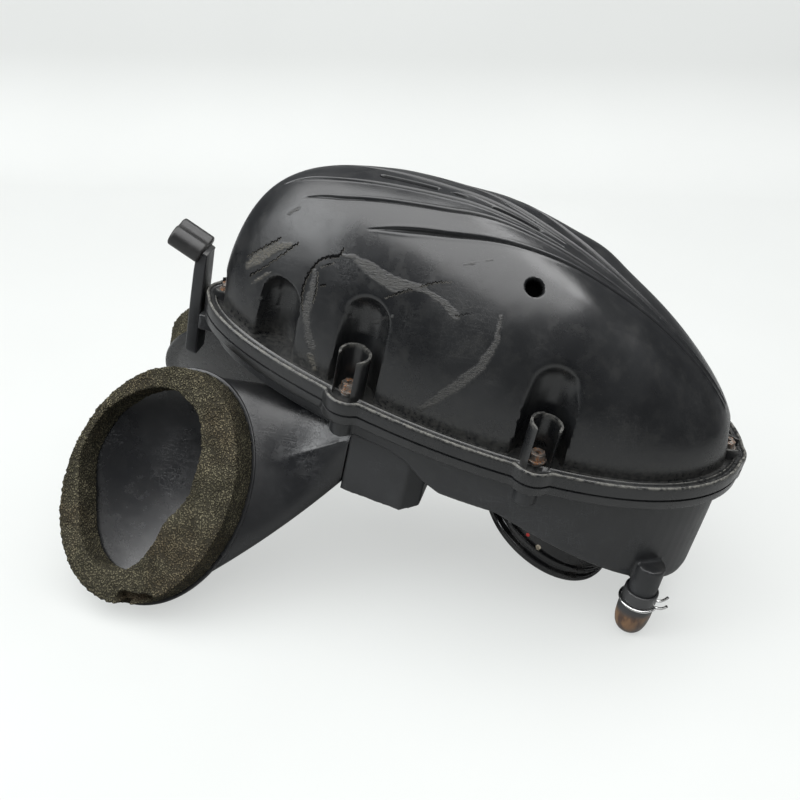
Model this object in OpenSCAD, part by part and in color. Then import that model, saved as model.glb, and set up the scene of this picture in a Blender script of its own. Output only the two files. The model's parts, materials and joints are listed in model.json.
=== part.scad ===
// Motorcycle airbox: domed cover, lower case, two side intake ducts with foam seals,
// panel filter, intake funnel, throttle boot and drain.
// Every piece is drawn in the case frame: X runs from the nose (-) to the tail (+), Z = 0 is the
// lower edge of the cover's skirt. set_down() then stands the whole box on a bench, on both
// duct mouths and the drain plug, with the bench at Z = 0.

/* [Case] */
// Length of the case over the cover's skirt
case_len = 308; // [300:1:316]
// Half width of the egg-shaped outline amidships
egg_half_w = 72; // [70:0.5:74]
// How much wider the tail half is than the nose half
egg_skew = 13; // [10:0.5:15]
// Wall thickness of the plastic mouldings
wall = 2.5; // [2:0.1:3]
// Height of the cover's skirt
skirt_h = 12; // [11:0.5:13]

/* [Dome] */
// Crest height of the dome above the skirt
crest_h = 99; // [90:1:105]
// Growth of the crest height towards the tail
crest_slope = 4; // [0:0.5:8]
// Fall of the crest height away from the top of the dome
crest_fall = 17; // [10:1:20]
// Radius of the wells that clear the cover screws
well_r = 13.5; // [12.5:0.5:14.5]
// Height of the screw towers above the seam
tower_top = 38; // [34:1:42]

/* [Lower case] */
// Depth of the case under the nose
nose_depth = 13; // [12.5:0.5:14]
// Depth of the case amidships
belly_depth = 28; // [26:1:30]
// Where the floor starts to fall towards the tail
slope_x = 38; // [36:1:42]
// Slope of the rear floor in degrees
slope_deg = 21; // [20:0.5:21.5]
// Depth of the chamber that the ducts open into
chamber_depth = 52; // [50:1:53]

/* [Ducts] */
// Half width of the duct flange
mouth_half_w = 54; // [52:1:56]
// Half height of the duct flange
mouth_half_h = 70; // [69:1:71]
// Thickness of the foam seals
foam_t = 18; // [14:1:20]
// Width of the band of foam
foam_band = 16; // [14:1:17]

/* [Throttle boot] */
// Inner radius of the boot, which slides over the throttle body
boot_r = 34; // [32:0.5:35]
// Length of the boot below the case floor
boot_len = 32; // [26:1:34]

/* [Stance] */
// Nose-up tilt of the case on the bench in degrees
pitch = 10; // [10:0.1:10]
// Height of the skirt's lower edge above the bench amidships
seam_height = 112.8; // [112.8:0.1:112.8]

/* [Hidden] */
$fn = 64;

half_len = case_len / 2;
origin_x = 29.7;         // moves the origin to the middle of the footprint
rim_steps = 90;         // points round the case outline
e = 0.05;               // overlap that keeps unions solid

// Rim stack, from the lower case's flange up to the cover's flange
flange_top = 8;
flange_t = 3;
cover_plate_z = skirt_h - 2.5;
seal_in = 5;
seal_w = 3;

// Dome
dome_inset = 8;
dome_x = -33;           // plan position of the dome's apex
dome_steps = 10;
side_power = 2.4;
nose_power = 5.4;
tail_power = 1.7;

// Cover screws: angle round the outline, inset from it and height of the tower
side_top = tower_top;
end_top = 18;
screw_places = [[0, 11, end_top], [71, 8, side_top], [111, 7, side_top],
                [180, 11, end_top], [-111, 7, side_top], [-71, 8, side_top]];
recess_places = [[134, 9, 0], [-134, 9, 0]];
tower_r = 9;
tower_bore = 6;
tower_floor = 14;       // the screw heads sit here
slot_w = 8;

end_well_r = 10;
end_well_h = 20;
side_well_h = 54;
recess_h = 40;

// Wells that the dome's side is drawn in by: angle, inset, radius, height of the straight part
well_places = concat(
    [for (p = screw_places) p[2] == end_top ? [p[0], p[1], end_well_r, end_well_h]
        : [p[0], p[1], well_r, side_well_h]],
    [for (p = recess_places) [p[0], p[1], well_r, recess_h]]);
screw_r = 2.5;
insert_r = 3.5;
sleeve_r = 4;
post_r = 6.5;
post_bottom = -12.5;    // just above the intake ducts
boot_flange_t = 7;      // thickness of the boss that the boot grips
eyelet_r = 5.4;         // the rim seal widens to this round each cover screw
lug_r = 9.5;

// Chamber under the filter
chamber_x0 = -48;
chamber_x1 = -4;
chamber_half_w = 57;

// Filter panel
filter_x0 = -124;
filter_x1 = -10;
filter_half_w = 38;       // clears the backs of the screw wells when it is lifted
filter_corner = 4;
filter_z = -9;
filter_h = 20;
ledge_t = 2.6;
bulkhead_half_w = 56;

// Throttle boot, square to the sloping floor
boot_x = 76;
boot_tilt = slope_deg;

// Duct mouth and throat; the mouth's front is the face of its foam seal
mouth_n = unit([-0.26, -0.81, 0.53]);
mouth_u = unit([-mouth_n.y, mouth_n.x, 0]) * -1;
mouth_v = cross(mouth_n, mouth_u) * -1;
foam_face = [-149.4, -81.3, -71];
flange_c = foam_face - foam_t * mouth_n;
throat_c = [chamber_x0, -34, -32];
throat_half = [19, 16];
mouth_steps = 96;        // points round the duct mouth

// Stay in front of the nose
stay_x = -half_len - 5;
tongue_z = 34;

// Drain, below the tail on the left
drain = [125, -42];
drain_r = 8;

function unit(v) = v / norm(v);
function clamp01(t) = min(1, max(0, t));
function mix(a, b, t) = a + (b - a) * t;
function ease(t) = let (s = clamp01(t)) s * s * (3 - 2 * s);
function spow(v, p) = sign(v) * pow(abs(v), p);

// Case outline: an egg whose nose is narrower than its tail, moved in by inset
function egg(a, inset = 0) =
    let (w = egg_half_w + egg_skew * cos(a),
         tangent = [-half_len * sin(a), cos(a) * w - egg_skew * sin(a) * sin(a)],
         out = unit([tangent.y, -tangent.x]))
    [half_len * cos(a), sin(a) * w] - inset * out;

function egg_loop(inset) = [for (i = [0 : rim_steps - 1]) egg(360 * i / rim_steps, inset)];

// Height of the dome's crest over the plan position x
function crest(x) = let (u = (x - dome_x) / 150) crest_h + crest_slope * u - crest_fall * u * u;

// A point of the dome: a goes round, t runs from the skirt (0) to the apex (1)
function dome_point(a, t, gap) =
    let (foot = egg(a, dome_inset + gap),
         reach = pow(cos(90 * t), 0.7),
         x = dome_x + (foot.x - dome_x) * reach,
         power = side_power * pow(sin(a), 2)
             + (cos(a) < 0 ? nose_power : tail_power) * pow(cos(a), 2),
         h = (crest(x) - gap) * sqrt(max(0, 1 - pow(reach, power))))
    drawn_in([x, foot.y * reach, skirt_h + h], gap);

// Moves a point of the dome in, out of every well that it would stand in
function drawn_in(p, gap, i = 0) = i == len(well_places) ? p
    : let (w = well_places[i],
           foot = egg(w[0], w[1]),
           over = max(0, p.z - w[3]),
           r2 = pow(w[2] + gap, 2) - over * over,
           inward = egg(w[0], w[1] + 1) - foot,
           d = [p.x, p.y] - foot,
           miss = d * d - pow(d * inward, 2),
           push = r2 > miss && d * inward > -30 ? sqrt(r2 - miss) - d * inward : 0)
    drawn_in([p.x, p.y, p.z] + max(0, push) * [inward.x, inward.y, 0], gap, i + 1);

// Depth of the lower case under the plan position x
function case_depth(x) = mix(nose_depth, belly_depth, ease((x - ramp_x) / ramp_len))
    + max(0, x - slope_x) * tan(slope_deg);

// Rings of the lower case, from the rim down and in: [inset, share of the depth, reach]
bowl_rings = [[0, 0, 1], [0.5, 0.45, 1], [1.2, 0.88, 1], [2.4, 0.96, 1], [4.6, 0.992, 1],
              [7.5, 1, 1], [7.5, 1, 0.7], [7.5, 1, 0.35]];
bowl_x = 20;
ramp_x = -24;           // the floor drops from the nose to the belly between here
ramp_len = 30;          // and this far behind

// A point of the lower case: a goes round, ring picks one of bowl_rings
function bowl_point(a, ring, gap) =
    let (r = bowl_rings[ring],
         foot = egg(a, 6.5 + gap + r[0]),
         x = bowl_x + (foot.x - bowl_x) * r[2])
    [x, foot.y * r[2], -(case_depth(x) - gap) * r[1]];

// Faces that close a stack of rings between a flat first ring and a single last point
function stack_faces(n, rings) = concat(
    [[for (i = [0 : n - 1]) i]],
    [for (r = [0 : rings - 2], i = [0 : n - 1])
        let (j = (i + 1) % n) [r * n + i, (r + 1) * n + i, r * n + j]],
    [for (r = [0 : rings - 2], i = [0 : n - 1])
        let (j = (i + 1) % n) [r * n + j, (r + 1) * n + i, (r + 1) * n + j]],
    [for (i = [0 : n - 1]) [(rings - 1) * n + i, rings * n, (rings - 1) * n + (i + 1) % n]]);

function flipped(faces) = [for (f = faces) [for (i = [len(f) - 1 : -1 : 0]) f[i]]];

// Stands the case on the bench
module set_down() {
    translate([origin_x, 0, seam_height]) rotate([0, pitch, 0]) children();
}

// Puts children at each cover screw
module at_screws(places = screw_places) {
    for (p = places) translate(egg(p[0], p[1])) rotate(p[0]) children();
}

module egg_ring(outer, inner, z, h) {
    translate([0, 0, z]) linear_extrude(h) difference() {
        polygon(egg_loop(outer));
        polygon(egg_loop(inner));
    }
}

module tube(r_out, r_in, h) {
    difference() {
        cylinder(r = r_out, h = h);
        translate([0, 0, -1]) cylinder(r = r_in, h = h + 2);
    }
}

// One skin of the dome: its straight foot, its rings and its apex
function dome_skin(gap) = concat(
    [for (i = [0 : rim_steps - 1])
        let (p = dome_point(360 * i / rim_steps, 0, gap)) [p.x, p.y, cover_plate_z + 1]],
    [for (t = [1 : dome_steps - 1], i = [0 : rim_steps - 1])
        dome_point(360 * i / rim_steps, (t - 0.5) / (dome_steps - 0.5), gap)],
    [[dome_x, 0, skirt_h + crest(dome_x) - gap]]);

// Dome as one closed shell: outer skin, inner skin and the rim between their feet
module dome_shell() {
    n = rim_steps;
    count = n * dome_steps + 1;
    skin = [for (f = stack_faces(n, dome_steps)) if (len(f) == 3) f];
    rim = [for (i = [0 : n - 1]) let (j = (i + 1) % n)
        each [[i, j, count + i], [j, count + j, count + i]]];
    inner = [for (f = flipped(skin)) [for (k = f) k + count]];
    polyhedron(concat(dome_skin(0), dome_skin(wall)), concat(skin, inner, rim));
}

// Plan of the cover's skirt with its round lugs, and the room inside it for the lower case
module cover_outline() {
    polygon(egg_loop(0));
    at_screws() circle(r = lug_r + 2.9);
}

module case_room() {
    polygon(egg_loop(2.4));
    at_screws() circle(r = lug_r + 0.6);
}

module well_floors() {
    for (w = well_places) translate(egg(w[0], w[1])) circle(r = w[2] + wall + 0.6);
}

module skirt() {
    linear_extrude(cover_plate_z + e) difference() {
        cover_outline();
        case_room();
    }
    translate([0, 0, cover_plate_z]) linear_extrude(skirt_h - cover_plate_z) difference() {
        cover_outline();
        difference() {
            polygon(egg_loop(11));
            well_floors();
        }
    }
    egg_ring(0, 1.6, skirt_h - e, 1.6);
    egg_ring(4.2, 5.6, skirt_h - e, 1.2);
}

module upper_cover() {
    color("#1b1c1e") difference() {
        union() {
            dome_shell();
            skirt();
            for (p = screw_places) translate(egg(p[0], p[1]))
                translate([0, 0, skirt_h - e]) cylinder(r = tower_r, h = p[2] - skirt_h);
        }
        at_screws() {
            translate([0, 0, cover_plate_z - 1]) cylinder(r = sleeve_r, h = 10);
            translate([0, 0, tower_floor]) cylinder(r = tower_bore, h = tower_top);
            translate([4, -slot_w / 2, tower_floor]) cube([20, slot_w, tower_top]);
        }
    }
}

module bowl(gap) {
    n = rim_steps;
    rings = [for (r = [0 : len(bowl_rings) - 1], i = [0 : n - 1]) bowl_point(360 * i / n, r, gap)];
    base = [for (i = [0 : n - 1]) let (p = bowl_point(360 * i / n, 0, gap)) [p.x, p.y, flange_top - 0.6]];
    bottom = [[bowl_x, 0, -(case_depth(bowl_x) - gap)]];
    polyhedron(concat(base, rings, bottom), flipped(stack_faces(n, len(bowl_rings) + 1)));
}

// Chamber that both ducts open into, with chamfered lower corners
module chamber(gap) {
    x0 = chamber_x0 + gap;
    x1 = chamber_x1 - gap;
    w = chamber_half_w - gap;
    corner = 9;
    translate([0, 0, gap - chamber_depth]) linear_extrude(chamber_depth - gap)
        polygon([[x0, -w + 2], [x1 - corner, -w], [x1, -w + corner],
                 [x1, w - corner], [x1 - corner, w], [x0, w - 2]]);
}

module boot_axis() {
    translate([boot_x, 0, -case_depth(boot_x)]) rotate([0, boot_tilt, 0]) children();
}

module throat_window(grow) {
    for (side = [-1, 1]) translate([chamber_x0 - 2, side * -throat_c.y, throat_c.z])
        rotate([0, 90, 0]) linear_extrude(8)
            square([2 * (throat_half.y + grow), 2 * (throat_half.x + grow)], center = true);
}

module lower_case() {
    color("#2b2d30") difference() {
        union() {
            difference() {
                union() {
                    bowl(0);
                    chamber(0);
                }
                bowl(wall);
                chamber(wall);
            }
            translate([0, 0, flange_top - flange_t]) linear_extrude(flange_t) {
                difference() {
                    polygon(egg_loop(3));
                    polygon(egg_loop(8));
                }
                at_screws() circle(r = lug_r);
            }
            at_screws() translate([0, 0, post_bottom]) cylinder(r = post_r, h = flange_top - post_bottom - 1);
            boot_axis() translate([0, 0, 3 - boot_flange_t]) cylinder(r = 44, h = boot_flange_t);
            translate([drain.x, drain.y, -80]) cylinder(r = drain_r, h = 36);
            filter_ledge();
            stay_foot();
        }
        translate([0, 0, flange_top - 1.6]) linear_extrude(4) seal_shape(0.2);
        at_screws() {
            translate([0, 0, flange_top - 12]) cylinder(r = insert_r, h = 14);
            translate([0, 0, post_bottom + 2.5]) cylinder(r = screw_r + 0.4, h = 14);
        }
        boot_axis() translate([0, 0, -10]) cylinder(r = 37, h = 20);
        throat_window(0);
        translate([drain.x, drain.y, -90]) cylinder(r = 5, h = 42);
        // channel from the drain pipe into the lowest corner
        translate([drain.x - 5.5, drain.y, -55.2]) cube([6, 11, 6]);
        at_filter_screws() translate([0, 0, filter_z - 3.5]) cylinder(r = 1.6, h = 4);
        stay_bolt_hole();
    }
}

// Filter outline: a tapered panel with rounded corners
module filter_shape(inset) {
    corners = [[filter_x1, filter_half_w], [-48, filter_half_w], [-97, 20], [filter_x0, 8]];
    offset(r = filter_corner) offset(delta = -filter_corner - inset)
        polygon(concat(corners, [for (i = [3 : -1 : 0]) [corners[i].x, -corners[i].y]]));
}

module filter_ledge() {
    intersection() {
        translate([-half_len, -egg_half_w, filter_z - ledge_t]) difference() {
            cube([half_len + chamber_x1 - 1, 2 * egg_half_w, ledge_t]);
            translate([half_len, egg_half_w, -1]) linear_extrude(ledge_t + 2) filter_shape(9);
        }
        bowl(wall / 2);
    }
    // bulkhead between the duct side and the throttle side
    translate([chamber_x1 - wall, -bulkhead_half_w, -belly_depth + 1])
        cube([wall, 2 * bulkhead_half_w, belly_depth - 1 + filter_z]);
}

module at_filter_screws() {
    for (p = [[-118, 0], [-70.4, 23.4], [-70.4, -23.4], [-25, 32], [-25, -32], [-16, 0]])
        translate(p) children();
}

module filter_gasket() {
    color("#3a3a38") translate([0, 0, filter_z + 0.05]) linear_extrude(2.9) difference() {
        filter_shape(0);
        filter_shape(8);
        at_filter_screws() circle(r = 2.4);
    }
}

module filter_frame() {
    color("#202226") {
        difference() {
            translate([0, 0, filter_z + 3]) linear_extrude(2) difference() {
                filter_shape(0);
                filter_shape(10);
            }
            at_filter_screws() translate([0, 0, filter_z]) cylinder(r = 1.8, h = 20);
        }
        translate([0, 0, filter_z + 5 - e]) linear_extrude(filter_h - 2) difference() {
            filter_shape(0);
            filter_shape(2.5);
        }
    }
}

module filter_media() {
    pleat = 6;
    media_top = filter_h - 3;
    ends = 2 * ceil((filter_x1 - filter_x0) / pleat);
    color("#b9a67c") intersection() {
        translate([0, 0, filter_z + 5.05]) linear_extrude(media_top) difference() {
            filter_shape(3);
            at_filter_screws() circle(r = 5);
        }
        translate([filter_x0, 60, filter_z + 5.05]) rotate([90, 0, 0]) linear_extrude(120)
            polygon(concat(
                [for (i = [0 : ends]) [i * pleat / 2, i % 2 == 0 ? 0.8 : media_top]],
                [for (i = [ends : -1 : 0]) [i * pleat / 2, i % 2 == 0 ? 0 : media_top - 0.8]]));
    }
}

module filter_screws() {
    color("#8d8f92") at_filter_screws() {
        translate([0, 0, filter_z - 2.5]) cylinder(r = 1.5, h = 8);
        translate([0, 0, filter_z + 5.05]) cylinder(r = 3.2, h = 2);
    }
}

// Plan of the rim seal: a band with an eyelet round each cover screw
module seal_shape(grow = 0) {
    difference() {
        polygon(egg_loop(seal_in - grow));
        polygon(egg_loop(seal_in + seal_w + grow));
    }
    at_screws() circle(r = eyelet_r + grow);
}

module rim_seal() {
    color("#151515") translate([0, 0, flange_top - 1.55]) linear_extrude(3) difference() {
        seal_shape();
        at_screws() circle(r = insert_r + 0.1);
    }
}

// Point of the duct's skin: a goes round, t runs from the flange (0) to the throat (1)
function duct_point(a, t, gap) =
    let (k = t,
         p = mix(1, 0.45, k),
         mouth = (mouth_half_w - 3 - gap) * spow(cos(a), p) * mouth_u
             + (mouth_half_h - 3 - gap) * spow(sin(a), p) * mouth_v,
         throat = [0, (throat_half.x + wall - gap) * spow(cos(a), p),
                   (throat_half.y + wall - gap) * spow(sin(a), p)])
    mix(flange_c + mouth, throat_c + throat, k) - 14 * k * (1 - k) * mouth_n;

module duct_solid(gap, t0, t1) {
    n = 40;
    steps = 9;
    points = [for (s = [0 : steps], i = [0 : n - 1]) duct_point(360 * i / n, mix(t0, t1, s / steps), gap)];
    sides = [for (s = [0 : steps - 1], i = [0 : n - 1]) let (j = (i + 1) % n)
        each [[s * n + i, (s + 1) * n + i, s * n + j], [s * n + j, (s + 1) * n + i, (s + 1) * n + j]]];
    caps = [[for (i = [0 : n - 1]) i], [for (i = [n - 1 : -1 : 0]) steps * n + i]];
    polyhedron(points, concat(caps, sides));
}

// Puts children in the plane of the duct mouth, +Z out of the mouth
module at_mouth(c) {
    multmatrix([[mouth_u.x, mouth_v.x, mouth_n.x, c.x],
                [mouth_u.y, mouth_v.y, mouth_n.y, c.y],
                [mouth_u.z, mouth_v.z, mouth_n.z, c.z]]) children();
}

module mouth_outline(in) {
    polygon([for (i = [0 : mouth_steps - 1]) let (a = 360 * i / mouth_steps)
        [(mouth_half_w - in) * cos(a), (mouth_half_h - in) * sin(a)]]);
}

module intake_duct() {
    difference() {
        union() {
            duct_solid(0, 0, 0.998);
            at_mouth(flange_c) translate([0, 0, -wall]) linear_extrude(wall) mouth_outline(0);
        }
        duct_solid(wall, -0.05, 1.05);
    }
}

module foam_ring() {
    at_mouth(flange_c) translate([0, 0, 0.05]) linear_extrude(foam_t) difference() {
        mouth_outline(0);
        mouth_outline(foam_band);
    }
}

module left_intake_duct() {
    color("#2b2d30") intake_duct();
}

module right_intake_duct() {
    color("#2b2d30") mirror([0, 1, 0]) intake_duct();
}

module left_duct_seal() {
    color("#4a4535") foam_ring();
}

module right_duct_seal() {
    color("#4a4535") mirror([0, 1, 0]) foam_ring();
}

// Rubber boot: a groove holds the case floor, the lower end grips the throttle body
module throttle_boot() {
    color("#101011") boot_axis() rotate_extrude($fn = 96)
        polygon([[boot_r, -boot_len], [40.5, -boot_len], [42, -boot_len + 1.5], [42, -boot_len + 3.5],
                 [39.5, -boot_len + 5], [39.5, 2.9 - boot_flange_t], [36.9, 2.9 - boot_flange_t], [36.9, 3.1],
                 [40, 3.1], [40, 5],
                 [boot_r, 5]]);
}

// Funnel that guides air into the boot
module intake_funnel() {
    color("#1d1f22") boot_axis() {
        rotate_extrude($fn = 96)
            polygon([[boot_r - 3, 5.2], [boot_r, 5.2], [40.5, 5.2], [40.5, 7.5], [boot_r + 0.5, 7.5],
                     [boot_r + 1, 20], [boot_r + 5, 27], [boot_r + 11, 30], [boot_r + 11, 32],
                     [boot_r + 4, 29.5], [boot_r - 1.5, 21]]);
    }
}

module funnel_screws() {
    color("#8d8f92") boot_axis() for (a = [60 : 120 : 300]) rotate(a)
        translate([boot_r + 4, 0, 7.55]) cylinder(r = 2.2, h = 1.8);
}

module cover_screws() {
    color("#6b5a4a") at_screws() difference() {
        union() {
            translate([0, 0, -8]) cylinder(r = screw_r - 0.05, h = 22.1);
            translate([0, 0, 14.05]) cylinder(r = 5.2, h = 1.2);
            translate([0, 0, 15.2]) cylinder(r = 4.2, h = 3.6, $fn = 6);
        }
        translate([0, 0, 16]) cylinder(r = 1.6, h = 4, $fn = 4);
    }
}

module tower_sleeves() {
    color("#9a9a98") at_screws() translate([0, 0, cover_plate_z]) tube(sleeve_r - 0.02, 2.9, 4.5);
}

module threaded_inserts() {
    color("#b08d4a") at_screws() translate([0, 0, flange_top - 12]) tube(insert_r - 0.02, screw_r, 12);
}

// Foot on the nose of the lower case that the stay is screwed to
module stay_foot() {
    translate([stay_x + 3.1, -9, -11]) cube([14, 18, 10]);
}

module stay_bolt_hole() {
    translate([stay_x + 13, 0, -6]) rotate([0, -90, 0]) cylinder(r = 2.05, h = 12);
}

// Bracket on the nose: an upright strap with a tongue that points forward
module front_stay() {
    color("#54575a") difference() {
        union() {
            translate([stay_x, -7, -30]) cube([3, 14, tongue_z + 31.5]);
            translate([stay_x - 19, -6, tongue_z - 1.5]) cube([20, 12, 3]);
        }
        translate([stay_x - 2, 0, -6]) rotate([0, 90, 0]) cylinder(r = 2.6, h = 8);
    }
}

// Two-lobed rubber block pushed over the tongue
module stay_cushion() {
    color("#121212") difference() {
        for (side = [-1, 1]) translate([stay_x - 22, side * 4.5, tongue_z]) rotate([0, 90, 0])
            cylinder(r = 5.5, h = 21);
        translate([stay_x - 19.1, -6.1, tongue_z - 1.55]) cube([30, 12.2, 3.1]);
    }
}

module stay_screw() {
    color("#8d8f92") translate([stay_x - 3, 0, -6]) rotate([0, 90, 0]) {
        cylinder(r = 4.5, h = 2.95, $fn = 6);
        cylinder(r = 2, h = 13);
    }
}

// Plug on the drain pipe
module drain_plug() {
    color("#4b3222") translate([drain.x, drain.y, -91]) difference() {
        union() {
            translate([0, 0, 3]) cylinder(r = 9.5, h = 26);
            cylinder(r1 = 7.5, r2 = 9.5, h = 3.01);
        }
        translate([0, 0, 11]) cylinder(r = 8.05, h = 30);
    }
}

module drain_clip() {
    color("#c9ccce") translate([drain.x, drain.y, -70]) {
        rotate_extrude() translate([10.35, 0]) circle(r = 0.8, $fn = 16);
        translate([10, -3, 0]) rotate([0, 90, 0]) cylinder(r = 0.8, h = 5);
        translate([10, 3, 0]) rotate([0, 90, 0]) cylinder(r = 0.8, h = 5);
    }
}

set_down() upper_cover();
set_down() lower_case();
set_down() left_intake_duct();
set_down() right_intake_duct();
set_down() left_duct_seal();
set_down() right_duct_seal();
set_down() rim_seal();
set_down() filter_frame();
set_down() filter_media();
set_down() filter_gasket();
set_down() filter_screws();
set_down() intake_funnel();
set_down() funnel_screws();
set_down() throttle_boot();
set_down() cover_screws();
set_down() tower_sleeves();
set_down() threaded_inserts();
set_down() front_stay();
set_down() stay_cushion();
set_down() stay_screw();
set_down() drain_plug();
set_down() drain_clip();
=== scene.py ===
"""Looks of a worn motorcycle airbox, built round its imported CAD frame."""

import json
import math

import bpy
import numpy as np
from mathutils import Matrix, Vector, noise


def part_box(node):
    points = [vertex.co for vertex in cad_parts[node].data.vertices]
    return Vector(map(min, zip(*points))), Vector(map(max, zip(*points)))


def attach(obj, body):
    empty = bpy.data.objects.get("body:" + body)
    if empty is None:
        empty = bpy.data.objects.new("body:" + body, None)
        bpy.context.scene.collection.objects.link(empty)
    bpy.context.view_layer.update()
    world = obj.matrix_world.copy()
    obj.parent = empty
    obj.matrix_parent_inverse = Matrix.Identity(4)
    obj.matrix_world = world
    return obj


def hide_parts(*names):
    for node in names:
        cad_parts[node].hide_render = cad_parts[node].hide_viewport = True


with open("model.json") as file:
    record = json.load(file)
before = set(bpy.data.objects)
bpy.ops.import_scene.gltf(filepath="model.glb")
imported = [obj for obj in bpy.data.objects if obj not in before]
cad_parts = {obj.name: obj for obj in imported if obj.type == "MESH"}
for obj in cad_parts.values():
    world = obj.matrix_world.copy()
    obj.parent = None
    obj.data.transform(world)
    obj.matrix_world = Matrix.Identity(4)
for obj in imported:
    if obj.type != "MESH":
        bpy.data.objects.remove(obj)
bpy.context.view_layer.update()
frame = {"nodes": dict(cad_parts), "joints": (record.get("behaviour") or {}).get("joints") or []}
MM = 0.001
TAU = 2 * math.pi

# ---------------------------------------------------------------- frame of the case
# The case is drawn in millimetres: X nose to tail, Z = 0 at the lower edge of the cover's skirt.
lift_axis = next(j["axis"] for j in frame["joints"] if j["name"] == "cover_lift")
PITCH = math.atan2(lift_axis[0], lift_axis[2])
RIM_SEAL_MID = 7.95          # middle height of the rim seal in the case frame


def pitched(points, angle):
    """Points turned about Y by the angle: X turns down towards -Z."""
    c, s = math.cos(angle), math.sin(angle)
    return points @ np.array([[c, 0, s], [0, 1, 0], [-s, 0, c]]).T


SEAL_MIDDLE = (np.array(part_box("rim_seal")[0]) + np.array(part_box("rim_seal")[1])) / 2
CASE_ORIGIN = SEAL_MIDDLE - pitched(np.array([0, 0, RIM_SEAL_MID]), PITCH) * MM


def to_bench(points):
    """Case millimetres to the row frame's metres."""
    return pitched(np.asarray(points, float), PITCH) * MM + CASE_ORIGIN


# ---------------------------------------------------------------- the airbox's own sizes, mm
HALF_LEN, HALF_W, SKEW, WALL = 154.0, 72.0, 13.0, 2.5
SKIRT_H, PLATE_Z = 12.0, 9.5
APEX_X, CREST_H, CREST_SLOPE, CREST_FALL = -33.0, 99.0, 4.0, 17.0
DOME_INSET = 8.0
SIDE_POWER, NOSE_POWER, TAIL_POWER = 2.4, 5.4, 1.7
# cover screws: angle, inset, height of the tower
SCREWS = [(0, 11, 18), (71, 8, 38), (111, 7, 38), (180, 11, 18), (-111, 7, 38), (-71, 8, 38)]
# wells: angle, inset, radius, height of the straight part
WELLS = [(0, 11, 10, 20), (180, 11, 10, 20)] + [
    (side * angle, inset, 13.5, height) for side in (1, -1)
    for angle, inset, height in ((71, 8, 54), (111, 7, 54), (134, 9, 40))]
LUG_R = 12.4
TOWER_R, TOWER_BORE, TOWER_SLOT = 8.5, 7.1, 11.5
FOAM_T, FOAM_W, FOAM_H = 18.0, 54.0, 70.0
BOOT_X, BOOT_R, BOOT_LEN, SLOPE = 76.0, 34.0, 32.0, math.radians(21)
DRAIN = (125.0, -42.0)
STAY_X, TONGUE_Z, TONGUE_LEAN = -159.0, 34.0, math.radians(20)


def egg(a, inset=0.0):
    """Outline of the case at angle a (radians), moved in by inset."""
    a = np.asarray(a, float)
    c, s = np.cos(a), np.sin(a)
    w = HALF_W + SKEW * c
    tx, ty = -HALF_LEN * s, c * w - SKEW * s * s
    n = np.hypot(tx, ty)
    return np.stack([HALF_LEN * c - inset * ty / n, s * w + inset * tx / n], -1)


def smooth_max0(v, k):
    """max(0, v) with a rounded corner of size k."""
    return 0.5 * (v + np.sqrt(v * v + k * k))


def bulged(a, inset):
    """Outline with the round lugs at the screws."""
    p = egg(a, inset)
    for angle, lug_inset, _ in SCREWS:
        c = egg(math.radians(angle), lug_inset)
        out = c - egg(math.radians(angle), lug_inset + 1)
        d = p - c
        along = d @ out
        miss = (d ** 2).sum(-1) - along ** 2
        r2 = (LUG_R - inset) ** 2
        push = np.where((r2 > miss) & (along > -20), np.sqrt(np.maximum(r2 - miss, 0)) - along, -3.0)
        p = p + smooth_max0(push, 0.6)[..., None] * out
    return p


def crest(x):
    """Height of the dome's crest line over the skirt."""
    u = (x - APEX_X) / 150
    return CREST_H + CREST_SLOPE * u - CREST_FALL * u * u


def dome(a, reach, gap=0.0):
    """Dome without its wells: reach runs from 1 at the skirt to 0 at the apex."""
    foot = egg(a, DOME_INSET + gap)
    x = APEX_X + (foot[..., 0] - APEX_X) * reach
    power = SIDE_POWER * np.sin(a) ** 2 + np.where(np.cos(a) < 0, NOSE_POWER, TAIL_POWER) * np.cos(a) ** 2
    h = (crest(x) - gap) * np.sqrt(np.maximum(0, 1 - reach ** power))
    return np.stack([x, foot[..., 1] * reach, SKIRT_H + h], -1)


def drawn_in(points, gap=0.0, soft=2.8):
    """Moves the dome's side in, out of the screw wells, with soft edges."""
    p = points.copy()
    for angle, inset, radius, height in WELLS:
        a = math.radians(angle)
        foot = egg(a, inset)
        inward = egg(a, inset + 1) - foot
        over = np.maximum(0, p[..., 2] - height)
        r2 = (radius + gap) ** 2 - over ** 2
        d = p[..., :2] - foot
        along = d @ inward
        miss = (d ** 2).sum(-1) - along ** 2
        beyond = np.sqrt(miss) - np.sqrt(np.maximum(r2, 0)) + np.sqrt(np.maximum(-r2, 0))
        push = np.where(r2 > miss, np.sqrt(np.maximum(r2 - miss, 0)) - along,
                        -along - 1.5 * np.maximum(beyond, 0))
        push = np.where(along > -30, push, -50)
        p[..., :2] += smooth_max0(push, soft)[..., None] * inward
    return p


# ---------------------------------------------------------------- meshes
def mesh_object(name, points, faces, material=None, attributes=None, sharp=38, in_case=True):
    """A mesh from case millimetres, smooth except at edges sharper than the given angle."""
    mesh = bpy.data.meshes.new(name)
    verts = to_bench(points) if in_case else np.asarray(points, float)
    mesh.from_pydata(verts.tolist(), [], faces)
    mesh.validate()
    mesh.polygons.foreach_set("use_smooth", np.ones(len(mesh.polygons), bool))
    mesh.set_sharp_from_angle(angle=math.radians(sharp))
    for key, values in (attributes or {}).items():
        layer = mesh.attributes.new(key, "FLOAT", "POINT")
        layer.data.foreach_set("value", np.asarray(values, np.float32).ravel())
    obj = bpy.data.objects.new(name, mesh)
    bpy.context.scene.collection.objects.link(obj)
    if material:
        mesh.materials.append(material)
    return obj


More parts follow.
